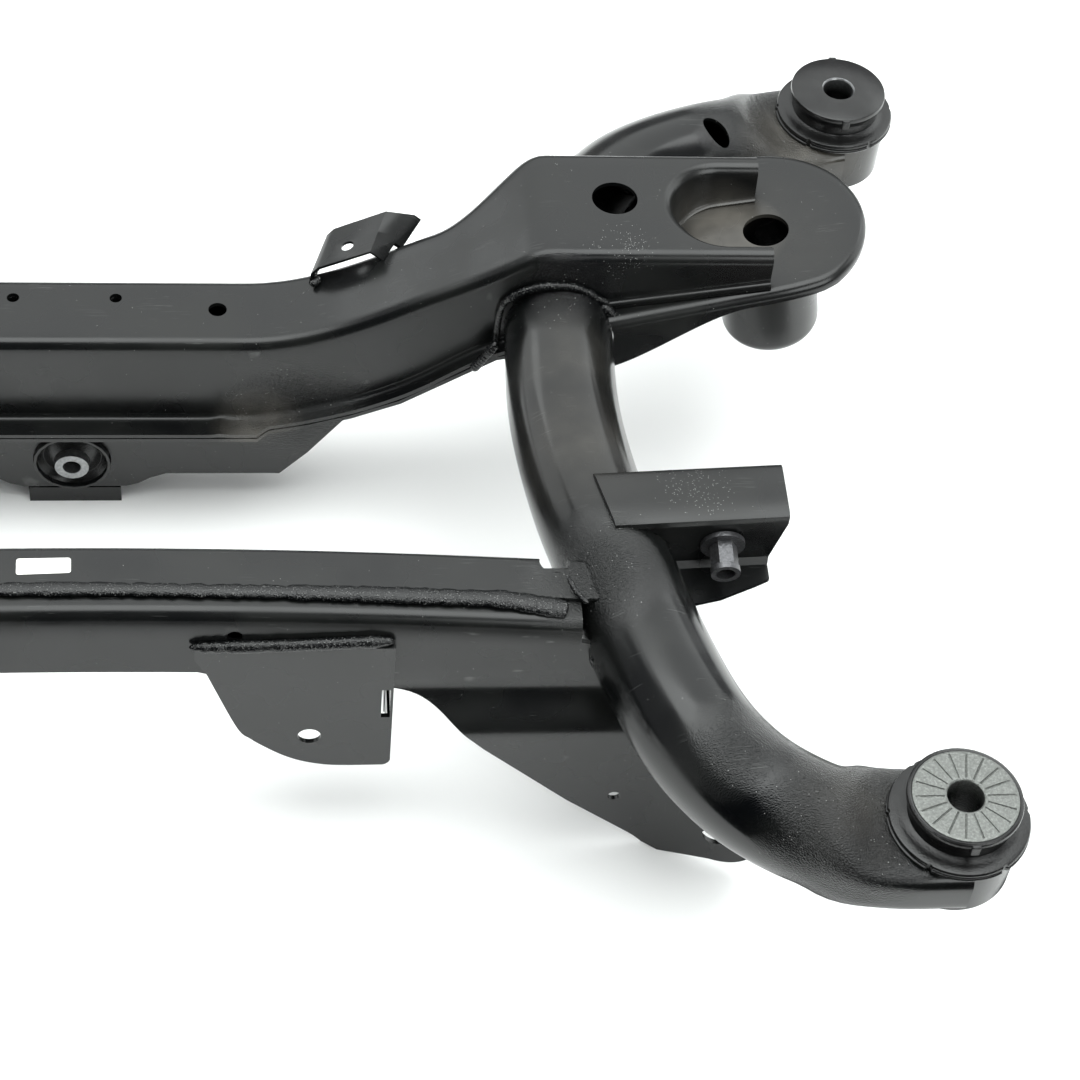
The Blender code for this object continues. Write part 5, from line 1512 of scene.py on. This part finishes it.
    def build(self) -> None:
        """Make the mount of both sides."""
        makes = ((self.collar(), "collar", TUBE_COAT), (self.shell(), "bush_shell", COAT),
                 (self.rubber(), "bush_rubber", RUBBER),
                 (self.head(), "bush_core", SERRATED if self.bare_head else SLEEVE))
        for piece, kind, finish in makes:
            smooth(piece, SHEET_ANGLE if kind != "bush_core" else 25.0)
            dress_pair(piece, f"dressed_{self.which}_{kind}", finish, [f"{self.which}_{kind}"])
        self.lugs()

    def lugs(self) -> None:
        """Add the moulded lugs on the head's rim, as welded to the rubber."""
        face = self.mount.z
        spots = ((-89.0, 31.6 * MM),) if self.bare_head else ((89.0, 32.0 * MM), (-88.0, 31.6 * MM))
        for number, (angle, reach) in enumerate(spots):
            a = math.radians(angle)
            ahead = Vector((math.cos(a), math.sin(a), 0.0))
            centre = Vector((self.mount.x, self.mount.y, face - 4.6 * MM)) + ahead * reach
            bpy.ops.mesh.primitive_cube_add(size=1.0, location=(0.0, 0.0, 0.0))
            lug = bpy.context.object
            lug.data.transform(Matrix.Diagonal((*self.lug_size, 1.0)))
            lug.data.transform(Matrix.Translation(centre) @ Matrix.Rotation(a, 4, "Z"))
            ease_edges(lug, 1.1 * MM, 30.0, 3)
            smooth(lug, 60.0)
            dress_pair(lug, f"dressed_{self.which}_lug_{number}", RUBBER)


# ---------------------------------------------------------------- front beam


@dataclass
class FrontBeam:
    """Front beam: its cap over a front pressing that carries both arm wings."""

    sheet: float = 3.0 * MM
    depth: float = 53.5 * MM
    end_top: float = 0.201
    crown: float = 14.0 * MM
    crown_x: float = 0.310
    fold: float = 8.0 * MM
    lean: float = 4.5 * MM
    lean_from: float = 0.155
    cap_fold: float = 6.0 * MM
    cap_lap: float = 22.0 * MM
    lap_width: float = 20.0 * MM
    height: float = 52.0 * MM
    cap_end: float = 0.335
    cap_columns: int = 141
    blank_end: float = 0.431         # end of the front pressing before it is trimmed
    blank_columns: int = 216
    wing_step: float = 17.0 * MM
    wing_step_top: float = 0.149
    wing_step_height: float = 32.0 * MM
    wing_bend: float = 0.362
    wing_slope: float = 0.41
    wing_end: float = 0.427
    wing_soft: float = 7.0 * MM      # how softly the wings bend
    arm_hole: tuple[float, float, float] = (0.405, 0.033, 0.007)
    eye: float = 0.025               # radius of the wing's end round that hole
    wing_hole: tuple[float, float, float] = (0.342, 0.054, 0.004)
    wall_hole: tuple[float, float, float] = (0.112, 0.021, 0.0045)      # its height is below the cap's top
    notch: tuple[float, float] = (0.298, 9.0 * MM)
    under_cap: float = 3.3 * MM      # the pressing's top lies this far under the cap's
    label_corners: tuple = ((-0.0113, -0.1189), (0.0193, -0.1184), (0.0198, -0.1293), (-0.0109, -0.1306))
    label_round: float = 1.8 * MM

    def top_z(self, x: float) -> float:
        """Height of the cap, crowned at the middle."""
        return self.end_top + self.crown * (1.0 - min(abs(x) / self.crown_x, 1.0) ** 2)

    def wall_y(self, x: float, z: float) -> float:
        """Outer face of the front wall and of the wings below it, the bend softened.

        Args:
            x: place across the car.
            z: height.

        Returns:
            The face's place along the car.
        """
        step = self.wing_step * ease(self.wing_step_top - z, 0.0, self.wing_step_height)
        leaning = self.lean * max(z - self.lean_from, 0.0) / (self.top_z(x) - self.lean_from)
        past = abs(x) - self.wing_bend
        out = 0.5 * (past + math.sqrt(past ** 2 + self.wing_soft ** 2 / 4))
        return FRONT_WALL_Y + leaning - step - self.wing_slope * out

    def wing_outline(self) -> list[tuple[float, float]]:
        """Outline of the right half of the front wall seen from the front.

        Returns:
            Points as place across and height.
        """
        face = FRONT_MOUNT.z
        eye = [(min(x, self.wing_end), max(z, 0.0))
               for x, z in arc(self.arm_hole[:2], self.eye, 10.0, -90.0, 24)]
        lower = [(0.374, 0.0), (0.364, 0.004), (0.357, 0.011), (0.313, face - 0.168)]
        sweep = smooth_path([(0.259, face - 0.113), (0.244, face - 0.096), (0.228, face - 0.082),
                             (0.212, face - 0.074), (0.190, face - 0.070)], 4.0 * MM)
        foot = [(x, self.top_z(x) - self.height - (4.0 * MM if x > 0.1 else 0.0))
                for x in np.linspace(0.120, 0.0, 9)]
        top = [(0.0, face + 0.04), (0.312, face + 0.04), (0.312, face - 0.034), (0.338, TUBE_AXIS_Z),
               (0.352, TUBE_AXIS_Z), (0.400, face - 0.092), (self.wing_end, face - 0.150)]
        return top + eye + lower + [tuple(p) for p in sweep] + foot

    def cap(self) -> Piece:
        """Press the cap: the top and the rear wall in one sheet.

        Returns:
            The cap.
        """
        front, back, r = FRONT_WALL_Y + self.cap_lap, FRONT_WALL_Y + self.depth, self.cap_fold
        rows = []
        for x in np.linspace(-self.cap_end, self.cap_end, self.cap_columns):
            top = self.top_z(x)
            section = [(front + (back - r - front) * t, top) for t in np.linspace(0.0, 1.0, 8)]
            section += arc((back - r, top - r), r, 90.0, 0.0, 7)
            section += [(back, top - r - (self.height - r) * t) for t in np.linspace(0.0, 1.0, 7)[1:]]
            rows.append([(x, y, z) for y, z in section])
        cap = laid_sheet("coated_front_cap", rows, flip=True)
        give_wall(cap, self.sheet, edge=0.8 * MM)
        x, radius = self.notch
        for side in Side:
            cut(cap, rod(radius, 0.024, (side.value * x, back - 4.0 * MM, self.top_z(x)), sides=48))
            cut(cap, SideTube().block(side, TUBE_CLEARANCE))
        return cap

    def shell(self) -> Piece:
        """Press the front wall with its fold and wings.

        Returns:
            The front pressing.
        """
        r = self.fold
        lap_back = FRONT_WALL_Y + self.cap_lap + self.lap_width
        steps = np.linspace(0.0, 1.0, 19)
        heights = [0.152] + [self.wing_step_top - self.wing_step_height * t for t in steps]
        heights += list(np.linspace(0.113, -0.010, 17))
        rows = []
        for x in np.linspace(-self.blank_end, self.blank_end, self.blank_columns):
            top = self.top_z(x) - self.under_cap
            bend = self.wall_y(x, top) - FRONT_WALL_Y
            start = FRONT_WALL_Y + bend + r
            section = [(lap_back, top), (start + 6.0 * MM, top), (start, top)]
            section += arc((start, top - r), r, 90.0, 174.0, 10)
            section += [(self.wall_y(x, z), z) for z in np.linspace(top - r - 1.5 * MM, self.lean_from, 5)]
            section += [(self.wall_y(x, z), z) for z in heights]
            rows.append([(x, y, z) for y, z in section])
        shell = laid_sheet("coated_front_shell", rows)
        give_wall(shell, self.sheet)
        half = self.wing_outline()
        outline = half + [(-x, z) for x, z in reversed(half) if abs(x) > 1e-6]
        cut(shell, outline_block(outline, -0.5, 0.5, "Y"), "INTERSECT")
        x, below, radius = self.wall_hole
        holes = (self.arm_hole, self.wing_hole, (x, self.top_z(x) - below, radius))
        for side in Side:
            for x, z, radius in holes:
                cut(shell, rod(radius, 0.08, (side.value * x, self.wall_y(x, z), z), "Y", 40))
            cut(shell, SideTube().block(side, TUBE_CLEARANCE))
        return shell

    def label(self) -> Piece:
        """Cut the blank label that is stuck on the cap.

        Returns:
            The label.
        """
        plan = np.array(self.label_corners)
        outline = []
        for i in range(4):
            before, here, after = plan[i - 1], plan[i], plan[(i + 1) % 4]
            start = here + (before - here) / np.linalg.norm(before - here) * self.label_round
            end = here + (after - here) / np.linalg.norm(after - here) * self.label_round
            for t in np.linspace(0.0, 1.0, 7):
                outline.append(tuple((1 - t) ** 2 * start + 2 * t * (1 - t) * here + t * t * end))
        return outline_block(outline, self.top_z(0.0) - 0.05 * MM, self.top_z(0.0) + 0.25 * MM)

    def build(self) -> None:
        """Make the cap, the front pressing and the label."""
        cap = self.cap()
        smooth(cap, SHEET_ANGLE)
        dress(cap, COAT, ["front_beam_cap"])
        shell = self.shell()
        smooth(shell, SHEET_ANGLE)
        dress(shell, COAT, ["front_beam_shell"])
        label = self.label()
        label.name = "blank_label"
        smooth(label, 30.0)
        dress(label, PAPER)


@dataclass
class SmallPressings:
    """Sheet pieces whose shape the solids already give: they get eased edges and the coat."""

    # width of the rounding along each one's edges
    edges: dict[str, float] = field(default_factory=lambda: {
        "rear_beam_lower": 0.8 * MM, "front_beam_floor": 0.8 * MM, "link_leaf_rear": 0.8 * MM,
        "arm_leaf": 0.8 * MM, "outrigger": 1.0 * MM, "clip_tab": 0.8 * MM, "weld_nut": 0.6 * MM,
        "diff_bush_shell": 0.5 * MM})
    single: tuple[str, ...] = ("rear_beam_lower", "front_beam_floor", "diff_bush_shell")
    others: tuple = (("diff_bush_rubber", RUBBER), ("diff_bush_core", SLEEVE), ("outrigger_nut_right", ZINC),
                     ("outrigger_nut_left", ZINC))
    turned_edge: float = 0.4 * MM

    def build(self) -> None:
        """Copy, ease and coat each pressing."""
        for name, width in self.edges.items():
            nodes = [name] if name in self.single else [name + "_right", name + "_left"]
            for node in nodes:
                piece = merged_copy(node, "coated_" + node)
                ease_edges(piece, width)
                dress(piece, COAT, [node])
        for node, finish in self.others:
            piece = merged_copy(node, "dressed_" + node)
            ease_edges(piece, self.turned_edge)
            dress(piece, finish, [node])


@dataclass
class LinkBracket:
    """Front leaf of a link bracket, with its turned side flange and its slot."""

    left: float = 0.089
    right: float = 0.204
    top: float = 0.188
    low: float = 0.071
    thickness: float = 3.0 * MM
    hole: tuple[float, float, float] = (0.155, 0.102, 0.007)
    front_y: float = -0.1648
    flange_depth: float = 22.0 * MM
    flange_top: float = 0.142
    corner: float = 6.0 * MM
    edge: float = 0.6 * MM
    slot: tuple[float, float, float, float] = (0.1972, 0.2024, 0.1205, 0.1475)      # x and z from, to
    # how far each point of the swept toe lies from the left edge and above the foot
    toe: tuple = ((0.023, 0.041), (0.031, 0.029), (0.040, 0.020), (0.051, 0.011), (0.062, 0.005),
                  (0.076, 0.001), (0.090, 0.0))

    def outline(self, side: Side) -> list[tuple[float, float]]:
        """Outline seen from the front, with its swept toe.

        Args:
            side: side of the frame.

        Returns:
            Points as place across and height.
        """
        toe = smooth_path([(self.left + 0.006, self.top - 0.022),
                           *((self.left + x, self.low + z) for x, z in self.toe)], 3.0 * MM)
        points = [(self.left, self.top), (self.left, self.top - 0.010)] + [tuple(p) for p in toe]
        points += arc((self.right - self.corner, self.low + self.corner), self.corner, 270.0, 360.0, 8)
        return [(side.value * x, z) for x, z in points + [(self.right, self.top)]]

    def build(self) -> None:
        """Cut both leaves, drill them and turn their side flanges."""
        back = self.front_y + self.thickness
        x, z, radius = self.hole
        for side in Side:
            s = side.value
            name = side.name.lower()
            leaf = outline_block(self.outline(side), self.front_y, back, "Y")
            leaf.name = "coated_link_leaf_" + name
            edges = sorted((s * (self.right - self.thickness), s * self.right))
            foot = self.low + self.corner
            flange = outline_block([(edges[0], foot), (edges[1], foot),
                                    (edges[1], self.flange_top), (edges[0], self.flange_top)],
                                   back - 1.0 * MM, back + self.flange_depth, "Y")
            cut(leaf, flange, "UNION")
            cut(leaf, rod(radius, 0.02, (s * x, self.front_y, z), "Y", 40))
            x0, x1, z0, z1 = self.slot
            cut(leaf, outline_block([(s * x0, z0), (s * x1, z0), (s * x1, z1), (s * x0, z1)],
                                    self.front_y - 0.01, back + self.flange_depth + 0.01, "Y"))
            ease_edges(leaf, self.edge)
            dress(leaf, COAT, ["link_leaf_front_" + name])


@dataclass
class Welds:
    """Arc-weld beads of the frame."""

    lap_ripple: float = 3.0 * MM
    collar_ring: float = 37.2 * MM

    def build(self) -> None:
        """Lay each bead."""
        self.front_beam()
        self.tubes()
        self.brackets()

    def front_beam(self) -> None:
        """Beads along the cap's lap and at the tube."""
        beam = FrontBeam()
        top = beam.top_z
        lap = [(x, -0.1398 - 1.0 * MM * ease(abs(x), 0.02, 0.12), top(x) - 1.3 * MM)
               for x in np.linspace(-0.175, 0.175, 21)]
        bead = WeldBead("bead_cap_lap", lap, 5.0 * MM, self.lap_ripple, depth=0.03, seed=3, flat=0.45)
        dress(bead.lay(), BEAD)
        end = [(x, -0.1410 - 0.4 * MM * ease(x, 0.16, 0.24), top(x) - 1.3 * MM)
               for x in np.linspace(0.145, 0.262, 6)]
        end += [(0.2769, -0.1428, top(0.277) - 1.6 * MM), (0.2920, -0.1448, 0.2005),
                (0.3035, -0.1464, 0.1996)]
        weld_pair("bead_cap_end", end, 5.2 * MM, 11, ripple=5.2 * MM, depth=0.05, swell=0.35, flat=0.5)
        weld_pair("bead_cap_tube", [(0.3042, -0.1205, 0.2000), (0.3067, -0.1280, 0.2015),
                                    (0.3093, -0.1355, 0.2022), (0.3150, -0.1450, 0.2034)],
                  1.5 * MM, 13, depth=0.03)
        weld_pair("bead_beam_tube", [(0.3225, -0.1630, 0.190), (0.3240, -0.1640, 0.184),
                                     (0.3255, -0.1655, 0.176)], 3.0 * MM, 31)
        weld_pair("bead_beam_crease", [(0.318, -0.1635, 0.176), (0.3235, -0.1630, 0.166),
                                       (0.329, -0.1625, 0.147), (0.335, -0.1630, 0.128)],
                  2.4 * MM, 37, ripple=9.0 * MM, depth=0.03)

    def tubes(self) -> None:
        """Beads where the tubes meet the rear beam and the collars."""
        lip = [(0.279, 0.1040, 0.1525), (0.2790, 0.1035, 0.180), (0.2812, 0.1030, 0.1965),
               (0.2880, 0.1025, 0.2058), (0.2980, 0.1025, 0.2115), (0.3088, 0.1025, 0.2142),
               (0.3248, 0.1025, 0.2136), (0.3348, 0.1025, 0.2090), (0.3417, 0.1025, 0.2035),
               (0.3490, 0.1025, 0.1990)]
        weld_pair("bead_shell_tube", lip, 2.5 * MM, 17, ripple=3.6 * MM, depth=0.10)
        weld_pair("bead_shell_lip_end", [(0.3440, 0.1005, 0.1985), (0.3500, 0.0990, 0.1950),
                                         (0.3540, 0.0975, 0.1890)], 3.4 * MM, 41)
        weld_pair("bead_flange_tube", [(0.2640, 0.0960, 0.1440), (0.2715, 0.0950, 0.1570),
                                       (0.2790, 0.0975, 0.1680)], 3.4 * MM, 43)
        for which, mount in (("front", FRONT_MOUNT), ("rear", REAR_MOUNT)):
            ring = [(mount.x + self.collar_ring * math.cos(a), mount.y + self.collar_ring * math.sin(a),
                     0.1935) for a in np.radians(np.linspace(70.0, 290.0, 40))]
            weld_pair(f"bead_{which}_collar", ring, 1.6 * MM, 19)

    def brackets(self) -> None:
        """Beads of the link brackets, outriggers, cups and clip tabs."""
        link = [(0.0860, -0.1618, 0.1862), (0.0930, -0.1618, 0.1866), (0.120, -0.1618, 0.1872),
                (0.150, -0.1618, 0.1882), (0.180, -0.1615, 0.1895), (0.2030, -0.1612, 0.1905)]
        weld_pair("bead_link_front", link, 4.1 * MM, 23, ripple=3.2 * MM, depth=0.03, point=10 * MM)
        weld_pair("bead_clip_foot_in", [(0.1598, 0.1495, 0.1667), (0.1630, 0.1520, 0.1675),
                                        (0.1655, 0.1550, 0.1680)], 2.6 * MM, 29)
        weld_pair("bead_clip_foot_out", [(0.2078, 0.1668, 0.1760), (0.2120, 0.1672, 0.1790)], 2.4 * MM, 47)
        weld_pair("bead_outrigger_front", [(0.3293, -0.0925, 0.2085), (0.3400, -0.0925, 0.2055),
                                           (0.3503, -0.0922, 0.2025), (0.3600, -0.0925, 0.1985),
                                           (0.3662, -0.0985, 0.1950)], 2.2 * MM, 53)


def main() -> None:
    """Build each sub-assembly in order."""
    logging.basicConfig(level=logging.INFO, format="%(name)s: %(message)s")
    parts = (Studio(), RearShell(), EarPlate(), SideTube(), MountBush("front", FRONT_MOUNT, True),
             MountBush("rear", REAR_MOUNT, False), FrontBeam(), LinkBracket(), SmallPressings(), Welds())
    for part in parts:
        log.info("building %s", type(part).__name__)
        part.build()


if __name__ == "__main__":
    main()
